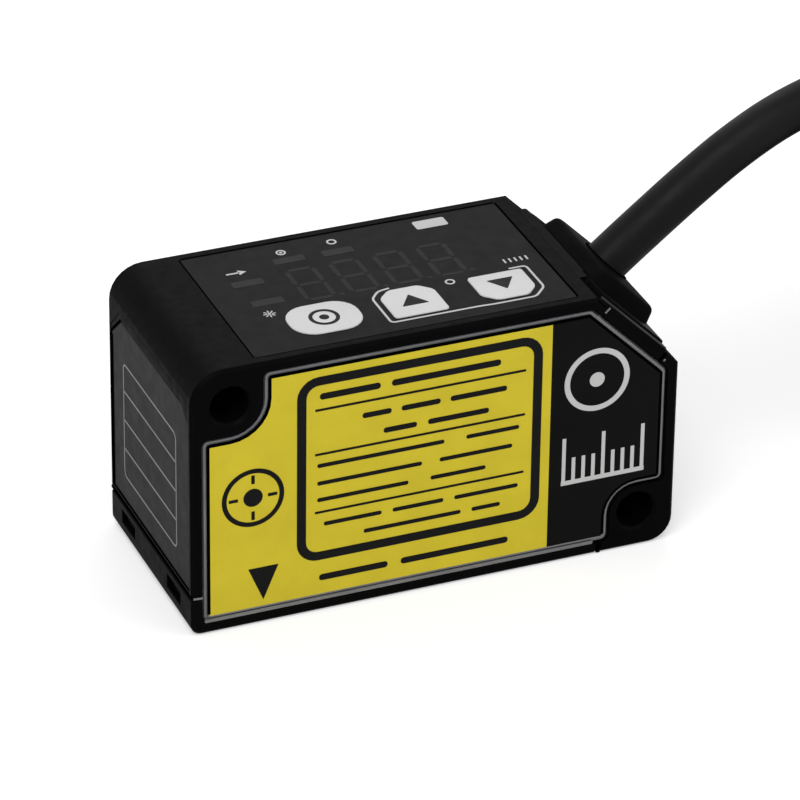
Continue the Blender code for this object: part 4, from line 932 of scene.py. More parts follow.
class Assembly(Generic[SizesT]):
    """What the sub-assemblies share: the frame, the finishes, their sizes and the ways to dress a piece."""

    def __init__(self, frame: dict, finishes: FinishSet, sizes: SizesT) -> None:
        """Keep the loaded frame, the finishes and the sizes."""
        self.frame = frame
        self.finishes = finishes
        self.sizes = sizes

    def build(self) -> None:
        """Build and dress the sub-assembly."""
        raise NotImplementedError

    def refine(self, node: str, finish: str, degrees: float = 28.0) -> Piece:
        """Stand for a CAD node with a merged copy of its mesh that shades its curves smooth.

        Args:
            node: The CAD node's name.
            finish: The finish's name.
            degrees: Faces that meet at less than this angle are shaded as one curve.

        Returns:
            The new piece.
        """
        source = self.frame["nodes"][node]
        piece = bpy.data.objects.new(node + "_shell", source.data.copy())
        bpy.context.scene.collection.objects.link(piece)
        with editing(piece, "FACE"):
            bpy.ops.mesh.remove_doubles(threshold=MERGE_M)
            bpy.ops.mesh.dissolve_limited(angle_limit=math.radians(0.5))
        dress(piece, self.finishes[finish])
        smooth(piece, degrees)
        apply_modifier(piece, "WEIGHTED_NORMAL", keep_sharp=True, weight=60)
        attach(piece, self.body_of(node))
        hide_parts(node)
        LOG.info("%s: %d faces", piece.name, len(piece.data.polygons))
        return piece

    def body_of(self, node: str) -> str:
        """The body that a CAD node rides on."""
        parent = self.frame["nodes"][node].parent
        return parent.name.split(":", 1)[1] if parent is not None else BODY

    def lay_on(self, name: str, pieces: Sequence[Piece], plane: Matrix, finish: str, slot: str) -> Piece:
        """Join pieces, move them from their drawing plane onto a face and dress them.

        Args:
            name: The joined piece's name.
            pieces: The pieces in millimetres on their drawing plane.
            plane: Where the drawing plane lies in the frame.
            finish: The finish's name.
            slot: Not used.

        Returns:
            The joined object, at the origin and unturned.
        """
        pick_up(pieces[0])
        for piece in pieces:
            piece.select_set(True)
        bpy.ops.object.transform_apply(location=True, rotation=True, scale=True)
        if len(pieces) > 1:
            bpy.ops.object.join()
        joined = bpy.context.object
        joined.name = joined.data.name = name
        joined.data.transform(plane)
        joined.data.update()
        dress(joined, self.finishes[finish])
        smooth(joined)
        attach(joined, BODY)
        LOG.info("%s: %d faces", name, len(joined.data.polygons))
        return joined


@dataclass
class JointShadeSizes:
    """Sizes of the black fill in the cover's joint in millimetres, painted shade in the gap: its outline,
    ends and heights.
    """

    outline: tuple[Point, ...] = ((-21.70, -8.9), (15.0, -8.9), (15.0, 9.70), (-21.70, 9.70))
    width: float = 0.55
    low: float = 3.40
    high: float = 3.65
    end_low: Point = (14.9, -9.1)
    end_high: Point = (15.25, 9.97)
    end_foot: float = 0.03
    rim_left: tuple[Point, Point] = ((-21.93, -9.93), (-21.15, -9.0))
    rim_right: tuple[Point, Point] = ((14.9, -9.97), (15.25, -9.0))
    rim_head: float = 0.95


class Casing(Assembly[JointShadeSizes]):
    """The die-cast housing, the moulded front cover, their windows and the gasket."""

    slope = (1.0, 0.0, 1.0)
    slope_cosine = 0.98
    slope_area = 1e-7

    def build(self) -> None:
        """Refine the shells, dress the clear panes and fill the joint between the two shells with black,
        painted shade in the gap.
        """
        self.dull_slope(self.refine("housing", "black_paint"))
        self.refine("front_cover", "black_moulding")
        self.refine("emitter_window", "clear_acrylic")
        self.refine("receiver_window", "clear_acrylic")
        self.refine("cover_gasket", "gasket_rubber")
        sizes = self.sizes
        # A black bead along the joint between the two shells: painted shade in the gap.
        bead = line(sizes.outline, sizes.width, closed=True, root=sizes.low, rise=sizes.high)
        end = bar(sizes.end_low, sizes.end_high, root=sizes.end_foot, rise=sizes.high)
        left = bar(*sizes.rim_left, root=sizes.low, rise=sizes.high)
        right = bar(*sizes.rim_right, root=sizes.end_foot, rise=sizes.rim_head)
        self.lay_on("joint_sealant", [bead, end, left, right], face_top(0.0), "dark_gap", "black_rubber")

    def dull_slope(self, housing: Piece) -> None:
        """Give the flat of the cut corner its duller paint.

        Args:
            housing: The housing's refined piece.
        """
        housing.data.materials.append(self.finishes["dull_paint"])
        slope = Vector(self.slope).normalized()
        for polygon in housing.data.polygons:
            if polygon.normal.dot(slope) > self.slope_cosine and polygon.area > self.slope_area:
                polygon.material_index = 1


@dataclass
class SidePrint:
    """Sizes of the side label's print in millimetres, along the length and up."""

    frame_low: Point = (-12.2, 5.35)
    frame_high: Point = (9.0, 22.2)
    frame_width: float = 0.82
    frame_radius: float = 1.5
    rule_heights: tuple[float, ...] = (19.45, 15.2, 9.6)
    rule_span: tuple[float, float] = (-11.0, 7.9)
    rule_width: float = 0.22
    pointer: tuple[Point, ...] = ((-16.94, 5.4), (-14.25, 5.4), (-15.6, 2.2))
    beam_mark: Point = (-16.5, 12.3)
    beam_mark_radius: float = 2.55
    beam_mark_width: float = 0.42
    beam_dot: float = 0.85
    beam_cross: Point = (1.326, 2.142)
    beam_cross_width: float = 0.294
    ring_width: float = 0.16
    border_width: float = 0.09
    border_foot: float = 0.0020
    foot_edge: tuple[Point, Point] = ((-20.86, 1.06), (14.5, 1.37))
    foot_radius: float = 0.14
    foot_root: float = -0.3
    edge_rise: float = 0.01
    tick_width: float = 0.17
    ticks: tuple[tuple[Point, Point], ...] = (
        ((14.96, 23.52), (15.42, 23.92)), ((20.54, 17.80), (20.72, 17.94)), ((-21.84, 3.62), (-21.02, 3.56)),
    )
    words: tuple[tuple[float, float, tuple[tuple[float, float], ...]], ...] = (
        (20.7, 0.60, ((-10.6, -5.2), (-4.2, 5.6))),
        (18.1, 0.50, ((-6.8, -4.2), (-3.3, 0.2), (1.1, 6.2))),
        (16.3, 0.50, ((-4.9, -1.9), (-0.9, 4.6))),
        (14.1, 0.38, ((-10.8, 0.6), (2.6, 7.4))),
        (12.4, 0.38, ((-10.8, -1.4), (0.2, 6.8))),
        (10.8, 0.38, ((-10.8, -2.6), (-0.6, 4.4))),
        (8.4, 0.38, ((-10.2, -5.0), (-4.0, 0.6), (1.6, 7.4))),
        (6.9, 0.38, ((-6.6, 2.2), (3.2, 5.8))),
        (3.2, 0.60, ((-10.6, -4.4), (-3.2, 6.6))),
    )
    word_rounding: float = 0.47
    target: Point = (14.47, 17.2)
    target_radius: float = 2.75
    target_width: float = 0.5
    target_dot: float = 0.6875
    scale_low: Point = (11.4, 7.6)
    scale_length: float = 7.7
    scale_ticks: int = 9
    scale_width: float = 0.42
    scale_step: int = 4
    scale_tick_half: float = 0.168
    tick_tall: float = 4.4
    tick_short: float = 2.4


class SidePanel(Assembly[SidePrint]):
    """The side plate with its printed label."""

    def build(self) -> None:
        """Refine the plate and its label, then lay the print on."""
        sizes = self.sizes
        self.refine("side_plate", "grey_plate")
        self.edge_label(self.refine("side_label", "plate_label"))
        face = face_side(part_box("side_label")[0].y)
        self.lay_on("label_frame_print", self.frame_lines(), face, "black_ink", "side_label")
        self.lay_on("label_field_print", self.words(), face, "black_ink", "side_label")
        self.lay_on("label_mark_print", self.marks(), face, "light_ink", "side_label")
        front = face_side(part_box("housing")[0].y)
        # Short light grey ticks on the housing's front rim.
        ticks = [line(ends, sizes.tick_width, rise=sizes.edge_rise) for ends in sizes.ticks]
        self.lay_on("rim_tick_marks", ticks, front, "scuffed_edge", "housing")
        foot = bar(*sizes.foot_edge, sizes.foot_radius, root=sizes.foot_root, rise=sizes.edge_rise)
        self.lay_on("plate_foot_edge", [foot], front, "grey_plate", "side_plate")

    def edge_label(self, label: Piece) -> None:
        """Trim the label's face twice: a dark line all round, painted shade along the label's edge, with the
        bare plate outside it at the foot.

        Args:
            label: The label's refined piece.
        """
        sizes = self.sizes
        ink, plate, gap = 0, 1, 2
        label.data.materials.append(self.finishes["grey_plate"])
        label.data.materials.append(self.finishes["dark_gap"])
        for slot, width in ((plate, sizes.ring_width), (gap, sizes.border_width)):
            with editing(label, "FACE"):
                choose_faces(label, lambda face: face.normal.y < -FACING and face.material_index == ink)
                bpy.ops.mesh.inset(thickness=width * MM, depth=0.0)
            for polygon in label.data.polygons:
                trimmed = not polygon.select and polygon.material_index == ink
                # The label's sides, and its outer ring above the foot, take the near-black painted shade.
                if polygon.normal.y >= -FACING or (trimmed and polygon.center.z > sizes.border_foot):
                    polygon.material_index = gap
                elif trimmed and slot == plate:
                    polygon.material_index = plate

    def frame_lines(self) -> list[Piece]:
        """The bold frame with its rules, the pointer over the beam and the beam mark.

        Returns:
            The new pieces.
        """
        sizes = self.sizes
        (left, low), (right, high) = sizes.frame_low, sizes.frame_high
        corners = ((left, low), (right, low), (right, high), (left, high))
        pieces = [line(corners, sizes.frame_width, closed=True, radius=sizes.frame_radius)]
        for height in sizes.rule_heights:
            half = sizes.rule_width / 2
            pieces.append(bar((sizes.rule_span[0], height - half), (sizes.rule_span[1], height + half)))
        pieces.append(field_shape(sizes.pointer))
        pieces.append(ring(sizes.beam_mark, sizes.beam_mark_radius, sizes.beam_mark_width))
        pieces.append(disc(sizes.beam_mark, sizes.beam_dot))
        inner, outer = sizes.beam_cross
        for turn in (0.0, 90.0, 180.0, 270.0):
            ends = (polar(sizes.beam_mark, inner, turn), polar(sizes.beam_mark, outer, turn))
            pieces.append(line(ends, sizes.beam_cross_width))
        return pieces

    def words(self) -> list[Piece]:
        """Plain bars in the lines' places.

        Returns:
            The new pieces.
        """
        return [
            bar((start, height - thick / 2), (end, height + thick / 2), thick * self.sizes.word_rounding)
            for height, thick, spans in self.sizes.words
            for start, end in spans
        ]

    def marks(self) -> list[Piece]:
        """A plain target and a plain measuring scale on the dark end of the label.

        Returns:
            The new pieces.
        """
        sizes = self.sizes
        pieces = [
            ring(sizes.target, sizes.target_radius, sizes.target_width),
            disc(sizes.target, sizes.target_dot),
        ]
        left, low = sizes.scale_low
        half = sizes.scale_width / 2
        pieces.append(bar((left, low - half), (left + sizes.scale_length, low + half)))
        for tick in range(sizes.scale_ticks):
            x = left + half + (sizes.scale_length - 2 * half) * tick / (sizes.scale_ticks - 1)
            tall = sizes.tick_short if tick % sizes.scale_step else sizes.tick_tall
            ends = (x - sizes.scale_tick_half, low + half), (x + sizes.scale_tick_half, low + tall)
            pieces.append(bar(*ends))
        return pieces


class Sign(Enum):
    """The small plain signs beside the lamps."""

    TARGET = "target"
    CIRCLE = "circle"
    ARROW = "arrow"
    RAYS = "rays"


@dataclass
class TopPrint:
    """Sizes of the display film's print and its keys in millimetres, along the length and across."""

    key_rise: float = 0.11
    key_edge: float = 0.08
    key_steps: int = 3
    left_key: tuple[Point, Point] = ((-11.4, -7.2), (-5.05, -2.35))
    left_key_radius: float = 2.1
    middle_key: tuple[Point, ...] = (
        (-2.75, -7.05), (2.15, -7.05), (2.15, -3.5), (1.05, -2.4), (-1.65, -2.4), (-2.75, -3.5),
    )
    right_key: tuple[Point, ...] = (
        (6.5, -7.1), (9.3, -7.1), (10.35, -5.95), (10.35, -2.8), (5.35, -2.8), (5.35, -6.0),
    )
    cut_key_radius: float = 0.35
    key_ring: Point = (1.15, 0.34)
    key_dot: float = 0.42
    up_sign: tuple[Point, ...] = ((-1.5, -5.5), (0.9, -5.5), (-0.3, -3.7))
    down_sign: tuple[Point, ...] = ((6.7, -3.9), (9.1, -3.9), (7.9, -5.7))
    sign_radius: float = 0.12
    outline: tuple[Point, ...] = (
        (-1.3, -1.95), (-2.4, -2.15), (-3.3, -3.2), (-3.3, -7.5), (2.75, -7.5), (4.6, -7.5), (5.9, -7.6),
        (9.7, -7.6), (10.95, -6.3), (10.95, -2.4), (9.4, -2.4),
    )
    outline_width: float = 0.2
    outline_radius: float = 0.35
    lamp_size: Point = (2.8, 1.0)
    lamps: tuple[Point, ...] = ((-12.0, 3.1), (-11.6, -0.5), (-7.3, 5.7), (-2.9, 5.6))
    lamp_rise: float = 0.012
    box_low: Point = (4.85, 6.75)
    box_high: Point = (7.75, 8.15)
    box_radius: float = 0.2
    digit_left: float = -8.3
    digit_pitch: float = 3.95
    digit_low: float = -1.45
    digit_size: Point = (2.35, 5.3)
    digit_count: int = 4
    digit_rise: float = 0.008
    digit_point: float = 0.65
    segment_width: float = 0.42
    segment_gap: float = 0.12
    circle_sign: Point = (0.36, 0.16)
    sign_dot: float = 0.14
    arrow_shaft: tuple[Point, Point] = ((-0.9, -0.1), (0.3, 0.1))
    arrow_head: tuple[Point, ...] = ((0.2, -0.4), (0.9, 0.0), (0.2, 0.4))
    rays_sign: Place = (0.22, 0.55, 0.12)
    rays_turn: int = 45
    signs: tuple[tuple[Point, Sign], ...] = (
        ((-7.5, 7.1), Sign.TARGET), ((-2.8, 7.35), Sign.CIRCLE), ((-12.3, 5.05), Sign.ARROW),
        ((-12.2, -2.5), Sign.RAYS), ((3.9, -2.75), Sign.CIRCLE),
    )
    unit_marks: tuple[float, ...] = (9.5, 10.0, 10.5, 11.0, 11.5)
    unit_sign: Place = (-1.4, -0.75, 0.16)
    gaps: tuple[tuple[Point, Point], ...] = (
        ((-16.10, -8.9), (-15.96, 8.8)), ((12.84, -8.9), (13.00, 8.8)), ((-15.9, 8.88), (12.8, 8.96)),
        ((-15.9, -9.06), (12.8, -8.98)),
    )
    gap_rise: float = 0.006


class DisplayTop(Assembly[TopPrint]):
    """The display film with its keys and print, and what is under it."""

    sides = ("left", "middle", "right")
    lamp_count = 4

    @property
    def plane(self) -> Matrix:
        """The film's face."""
        return face_top(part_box("display_film")[1].z)

    def build(self) -> None:
        """Refine the film, then add the keys, the print and the dim digits."""
        self.refine("display_film", "display_film")
        self.build_keys()
        self.build_print()
        self.build_gaps()
        self.build_digits()
        for number in range(1, self.lamp_count + 1):
            self.refine(f"light_pipe_{number}", "light_pipe")
            self.refine(f"lamp_{number}", "lamp_resin")
        self.refine("digit_display", "epoxy_black")
        for side in self.sides:
            self.refine(f"key_plunger_{side}", "grey_moulding")
            self.refine(f"key_switch_{side}", "epoxy_black")

    def build_keys(self) -> None:
        """Three raised key fields with soft edges, each with a plain sign."""
        sizes = self.sizes
        fields = (
            bar(*sizes.left_key, sizes.left_key_radius, rise=sizes.key_rise),
            field_shape(sizes.middle_key, sizes.cut_key_radius, rise=sizes.key_rise),
            field_shape(sizes.right_key, sizes.cut_key_radius, rise=sizes.key_rise),
        )
        for side, piece in zip(self.sides, fields):
            round_top(piece, sizes.key_edge, sizes.key_steps)
            self.lay_on(f"key_field_{side}", [piece], self.plane, "key_ink", "display_film")
        (west, south), (east, north) = sizes.left_key
        left = ((west + east) / 2, (south + north) / 2)
        root, rise = 0.0, sizes.key_rise + PRINT_RISE
        signs = [
            ring(left, *sizes.key_ring, root, rise),
            disc(left, sizes.key_dot, root, rise),
            field_shape(sizes.up_sign, sizes.sign_radius, root, rise),
            field_shape(sizes.down_sign, sizes.sign_radius, root, rise),
        ]
        self.lay_on("key_sign_print", signs, self.plane, "black_ink", "display_film")

    def build_print(self) -> None:
        """The line round two of the keys, the blank box, the lamps' windows and plain signs beside them."""
        sizes = self.sizes
        prints = [
            line(sizes.outline, sizes.outline_width, radius=sizes.outline_radius),
            bar(sizes.box_low, sizes.box_high, sizes.box_radius),
        ]
        for place, kind in sizes.signs:
            prints.extend(self.sign(place, kind))
        low, high, wide = sizes.unit_sign
        prints.extend(bar((x, low), (x + wide, high)) for x in sizes.unit_marks)
        self.lay_on("film_print", prints, self.plane, "light_ink", "display_film")
        wide, tall = sizes.lamp_size[0] / 2, sizes.lamp_size[1] / 2
        windows = [
            bar((x - wide, y - tall), (x + wide, y + tall), sizes.box_radius, rise=sizes.lamp_rise)
            for x, y in sizes.lamps
        ]
        self.lay_on("lamp_window_print", windows, self.plane, "smoked_window", "display_film")

    def build_gaps(self) -> None:
        """The dark joint round the film, painted shade in the gap round it, wider at its two ends."""
        pieces = [bar(low, high, rise=self.sizes.gap_rise) for low, high in self.sizes.gaps]
        top = face_top(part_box("housing")[1].z)
        self.lay_on("film_joint_line", pieces, top, "dark_gap", "display_film")

    def sign(self, place: Point, kind: Sign) -> list[Piece]:
        """A small plain sign beside a lamp.

        Args:
            place: Its middle along the length and across.
            kind: Which of the signs it is.

        Returns:
            The new pieces.
        """
        sizes = self.sizes
        if kind is Sign.TARGET:
            return [ring(place, *sizes.circle_sign), disc(place, sizes.sign_dot)]
        if kind is Sign.CIRCLE:
            return [ring(place, *sizes.circle_sign)]
        if kind is Sign.ARROW:
            shaft, head = (
                [(place[0] + x, place[1] + y) for x, y in corners]
                for corners in (sizes.arrow_shaft, sizes.arrow_head)
            )
            return [bar(*shaft), field_shape(head)]
        inner, outer, wide = sizes.rays_sign
        turns = range(0, 360, sizes.rays_turn)
        rays = [line((polar(place, inner, turn), polar(place, outer, turn)), wide) for turn in turns]
        return [disc(place, sizes.sign_dot), *rays]

    def build_digits(self) -> None:
        """Four unlit digits of seven bars each, dim behind the film."""
        sizes = self.sizes
        wide, tall = sizes.digit_size
        gap, low = sizes.segment_gap, sizes.digit_low
        pieces = []
        for number in range(sizes.digit_count):
            left = sizes.digit_left + sizes.digit_pitch * number
            for rung in range(3):
                y = low + tall / 2 * rung
                pieces.append(self.segment((left + gap, y), (left + wide - gap, y)))
                if rung < 2:
                    for x in (left, left + wide):
                        pieces.append(self.segment((x, y + gap), (x, y + tall / 2 - gap)))
            pieces.append(disc((left + wide + sizes.digit_point, low), sizes.segment_width / 2))
        self.lay_on("dim_digit_print", pieces, self.plane, "dim_segment", "display_film")

    def segment(self, start: Point, end: Point) -> Piece:
        """One bar of a digit, pointed at both ends.

        Args:
            start: Its first point, at the left or at the foot.
            end: Its last point.

        Returns:
            The new piece.
        """
        half = self.sizes.segment_width / 2
        (x1, y1), (x2, y2) = start, end
        if abs(x2 - x1) > abs(y2 - y1):
            corners = (
                (x1, y1), (x1 + half, y1 - half), (x2 - half, y2 - half),
                (x2, y2), (x2 - half, y2 + half), (x1 + half, y1 + half),
            )
        else:
            corners = (
                (x1, y1), (x1 + half, y1 + half), (x2 + half, y2 - half),
                (x2, y2), (x2 - half, y2 - half), (x1 - half, y1 + half),
            )
        return field_shape(corners, rise=self.sizes.digit_rise)


@dataclass
class EndPrint:
    """Sizes of the end label's print in millimetres, across and up. Its cuts are in metres in the frame."""

    box_low: Point = (-6.4, 6.6)
    box_high: Point = (6.4, 17.6)
    box_radius: float = 0.6
    line_width: float = 0.17
    rules: tuple[float, ...] = (14.9, 12.1, 9.3)
    cuts: tuple[tuple[Place, Place], ...] = (
        ((-0.022, 0.0, 0.0212), (0.0, 0.0, 1.0)), ((-0.022, 0.0082, 0.0202), (0.0, 0.68, 0.73)),
    )
    joint: tuple[Point, ...] = ((9.40, 4.15), (-9.30, 4.15), (-9.30, 19.25), (-6.95, 21.35))
    joint_width: float = 0.26
    joint_root: float = -0.10
    joint_rise: float = 0.008
    back_shade: tuple[Point, Point] = ((-9.62, 4.1), (-8.95, 19.0))
    back_rise: float = 0.012


class EndPanel(Assembly[EndPrint]):
    """The label on the left end, with an empty rating box."""

    def build(self) -> None:
        """Refine the label, trim its top and lay the joint and the empty box on it; the joint is a dark line
        of painted shade.
        """
        self.trim(self.refine("end_label", "end_film"))
        sizes = self.sizes
        (left, low), (right, high) = sizes.box_low, sizes.box_high
        corners = ((left, low), (right, low), (right, high), (left, high))
        half = sizes.line_width / 2
        pieces = [line(corners, sizes.line_width, closed=True, radius=sizes.box_radius)]
        pieces.extend(bar((left, height - half), (right, height + half)) for height in sizes.rules)
        label = face_end(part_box("end_label")[0].x)
        self.lay_on("end_label_print", pieces, label, "faint_ink", "end_label")
        # A dark line along the label's joint and a dark bar at its back edge: painted shade.
        joint = [
            line(sizes.joint, sizes.joint_width, root=sizes.joint_root, rise=sizes.joint_rise),
            bar(*sizes.back_shade, root=sizes.joint_root, rise=sizes.back_rise),
        ]
        face = face_end(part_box("housing")[0].x)
        self.lay_on("end_label_joint", joint, face, "dark_gap", "end_label")

    def trim(self, label: Piece) -> None:
        """Cut the label's face along its upper edge and shoulder, and paint what is above as the casing.

        Args:
            label: The label's refined piece.
        """
        label.data.materials.append(self.finishes["black_paint"])
        for place, normal in self.sizes.cuts:
            with editing(label):
                bpy.ops.mesh.bisect(plane_co=place, plane_no=normal)
        cuts = [(Vector(place), Vector(normal)) for place, normal in self.sizes.cuts]
        for polygon in label.data.polygons:
            if any((polygon.center - place).dot(normal) > 0.0 for place, normal in cuts):
                polygon.material_index = 1


@dataclass
class ExitSizes:
    """Sizes of the boot, its flange and the painted shadow ring at its foot in millimetres, down the corner's
    slope and across.
    """

    flange: tuple[Point, ...] = (
        (-6.6, 7.0), (-6.6, -6.0), (-4.7, -6.0), (-3.9, -9.2), (3.45, -9.2), (3.45, 7.0),
    )
    flange_radius: float = 0.35
    flange_top: float = 0.52
    flange_edge: float = 0.16
    cut_place: Place = (-5.445, 0.0, 0.0)
    cut_normal: Place = (-0.7071, 0.0, 0.7071)
    edge_steps: int = 4
    boot_low: Point = (-4.2, -7.1)
    boot_high: Point = (3.15, 5.6)
    boot_radius: float = 1.5
    boot_root: float = 0.3
    boot_top: float = 1.9
    boot_edge: float = 0.45
    draft: Place = (0.88, 0.95, 1.0)
    # The painted shadow ring at the boot's foot: radius, width, root and rise.
    collar: tuple[float, float, float, float] = (2.12, 0.36, 1.6, 2.0)
    lip: tuple[Point, Point] = ((-5.15, -9.98), (3.35, -9.70))
    lip_root: float = -0.1
    lip_top: float = 0.22
    # The thickness of the lighter strip on the lip, a painted highlight.
    lip_edge: float = 0.12


class CableExit(Assembly[ExitSizes]):
    """The plug in the cut corner, the boot with its flange on it and the clamp inside."""

    def build(self) -> None:
        """Refine the plug and the clamp, then model the flange, the boot, a painted shadow ring at its foot
        and the corner's lip with a painted highlight along its edge.
        """
        self.refine("cable_plug", "black_moulding")
        self.refine("cable_clamp", "turned_steel")
        sizes = self.sizes
        corner = face_corner()
        self.lay_on("boot_flange", [self.flange()], corner, "black_moulding", "black_rubber")
        boot = self.lay_on("boot_block", [self.boot()], corner, "boot_rubber", "black_rubber")
        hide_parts("cable_boot")
        lip = bar(*sizes.lip, root=sizes.lip_root, rise=sizes.lip_top)
        self.lay_on("corner_lip", [lip], corner, "black_moulding", "black_moulding")
        # A lighter strip on top of the lip along the front rim: a painted highlight on its edge.
        edge = bar(*sizes.lip, root=sizes.lip_top, rise=sizes.lip_top + sizes.lip_edge)
        self.lay_on("corner_lip_edge", [edge], corner, "lip_edge", "black_moulding")
        # A black ring where the cable leaves the boot: a painted contact shadow.
        collar = ring((0.0, 0.0), *sizes.collar)
        self.lay_on("boot_collar", [collar], corner, "dark_gap", "black_rubber")

    def flange(self) -> Piece:
        """The low flange, cut off level with the housing's top.

        Returns:
            The new piece.
        """
        sizes = self.sizes
        flange = field_shape(sizes.flange, sizes.flange_radius, rise=sizes.flange_top)
        round_top(flange, sizes.flange_edge, sizes.edge_steps)
        with editing(flange):
            bpy.ops.mesh.bisect(plane_co=sizes.cut_place, plane_no=sizes.cut_normal, clear_outer=True,
                                use_fill=True)
        return flange

    def boot(self) -> Piece:
        """The boot, which gets narrower towards its top.

        Returns:
            The new piece.
        """
        sizes = self.sizes
        boot = bar(sizes.boot_low, sizes.boot_high, sizes.boot_radius, sizes.boot_root, sizes.boot_top)
        with editing(boot, "FACE"):
            choose_faces(boot, looks_up)
            bpy.ops.transform.resize(value=sizes.draft)
        round_top(boot, sizes.boot_edge, sizes.edge_steps)
        return boot


@dataclass
class CableSizes:
    """The cable's sizes and route in metres, as the CAD model has them. The strap's are in millimetres."""

    diameter: float = 0.0040
    length: float = 2.0
    exit: Place = (0.0195, 0.0, 0.0225)
    inside: tuple[Place, ...] = (
        (0.01568, 0.0, 0.01868), (0.01815, 0.0, 0.02115), (0.01949, 0.0, 0.02249),
    )
    route: tuple[Place, ...] = (
        (0.0235, 0.0000, 0.0257), (0.0277, 0.0000, 0.0289), (0.0312, 0.0000, 0.0313),
        (0.0350, 0.0002, 0.0332), (0.0390, 0.0007, 0.0343), (0.0430, 0.0017, 0.0345),
        (0.0470, 0.0031, 0.0338), (0.0510, 0.0047, 0.0323), (0.0550, 0.0066, 0.0304),
        (0.0590, 0.0085, 0.0287), (0.0630, 0.0104, 0.0276),
    )
    sink: tuple[Place, ...] = (
        (0.0675, 0.0111, 0.02595), (0.0720, 0.0115, 0.0247), (0.0770, 0.0118, 0.02375),
        (0.0820, 0.01195, 0.0232), (0.0870, 0.0120, 0.02295), (0.0920, 0.0120, 0.02285),
        (0.0980, 0.0120, 0.0228),
    )
    middle: float = 0.0845
    half_run: float = 0.0200
    inner_radius: float = 0.0120
    turns: int = 11
    floor: float = 0.0008
    bulge: float = 0.0010
    tail_end: Point = (0.0880, -0.00835)
    step: float = 0.0022
    spacing: float = 0.0012
    strap_span: Point = (-19.35, 18.75)
    strap_head: float = 25.55
    strap_thick: float = 0.6
    strap_radius: float = 1.6
    strap_lap: Place = (-14.0, 3.0, 2.2)
    lap_radius: float = 2.4
    lap_inset: float = 0.15
    lap_clear: float = 0.02
    lead_radius: float = 0.00055
    lead_length: float = 0.0300
    lead_bare: float = 0.0055
    lead_spacing: float = 0.0008
    lead_down: Place = (0.0135, 0.0022, 0.0018)
    lead_fan: Point = (0.0069, 0.0024)
    lead_gap: float = 0.00006
    lead_inside: float = 0.0006
    lead_rounds: int = 3
    tip_share: float = 0.62
    tip_overlap: int = 2


def smooth_route(points: Sequence[Vector], spacing: float) -> list[Vector]:
    """Points along a smooth curve through the given ones.

    Args:
        points: The points that the curve goes through.
        spacing: About how far apart the new points are.

    Returns:
        The new points, from the first to the last.
    """
    knots = [points[0] * 2 - points[1], *points, points[-1] * 2 - points[-2]]
    route = []
    for a, b, c, d in zip(knots, knots[1:], knots[2:], knots[3:]):
        steps = max(1, round((c - b).length / spacing))
        for step in range(steps):
            t = step / steps
            square = (2 * a - 5 * b + 4 * c - d) * t**2
            cube = (3 * b - a - 3 * c + d) * t**3
            route.append(0.5 * (2 * b + (c - a) * t + square + cube))
    route.append(knots[-2].copy())
    return route


def tube(name: str, points: Sequence[Vector], radius: float, finish: bpy.types.Material,
         rounds: int = 8) -> Piece:
    """A round cord along a route, with closed ends.

    Args:
        name: Its name.
        points: The points that it follows, in metres.
        radius: Its radius.
        finish: Its material.
        rounds: How finely its section is divided.

    Returns:
        The new curve object, riding on the body.
    """
    curve = bpy.data.curves.new(name, "CURVE")
    curve.dimensions = "3D"
    curve.bevel_depth = radius
    curve.bevel_resolution = rounds
    curve.use_fill_caps = True
    spline = curve.splines.new("POLY")
    spline.points.add(len(points) - 1)
    for point, place in zip(spline.points, points):
        point.co = (*place, 1.0)
    spline.use_smooth = True
    curve.materials.append(finish)
    piece = bpy.data.objects.new(name, curve)
    bpy.context.scene.collection.objects.link(piece)
    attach(piece, BODY)
    LOG.info("%s: %d points", name, len(points))
    return piece


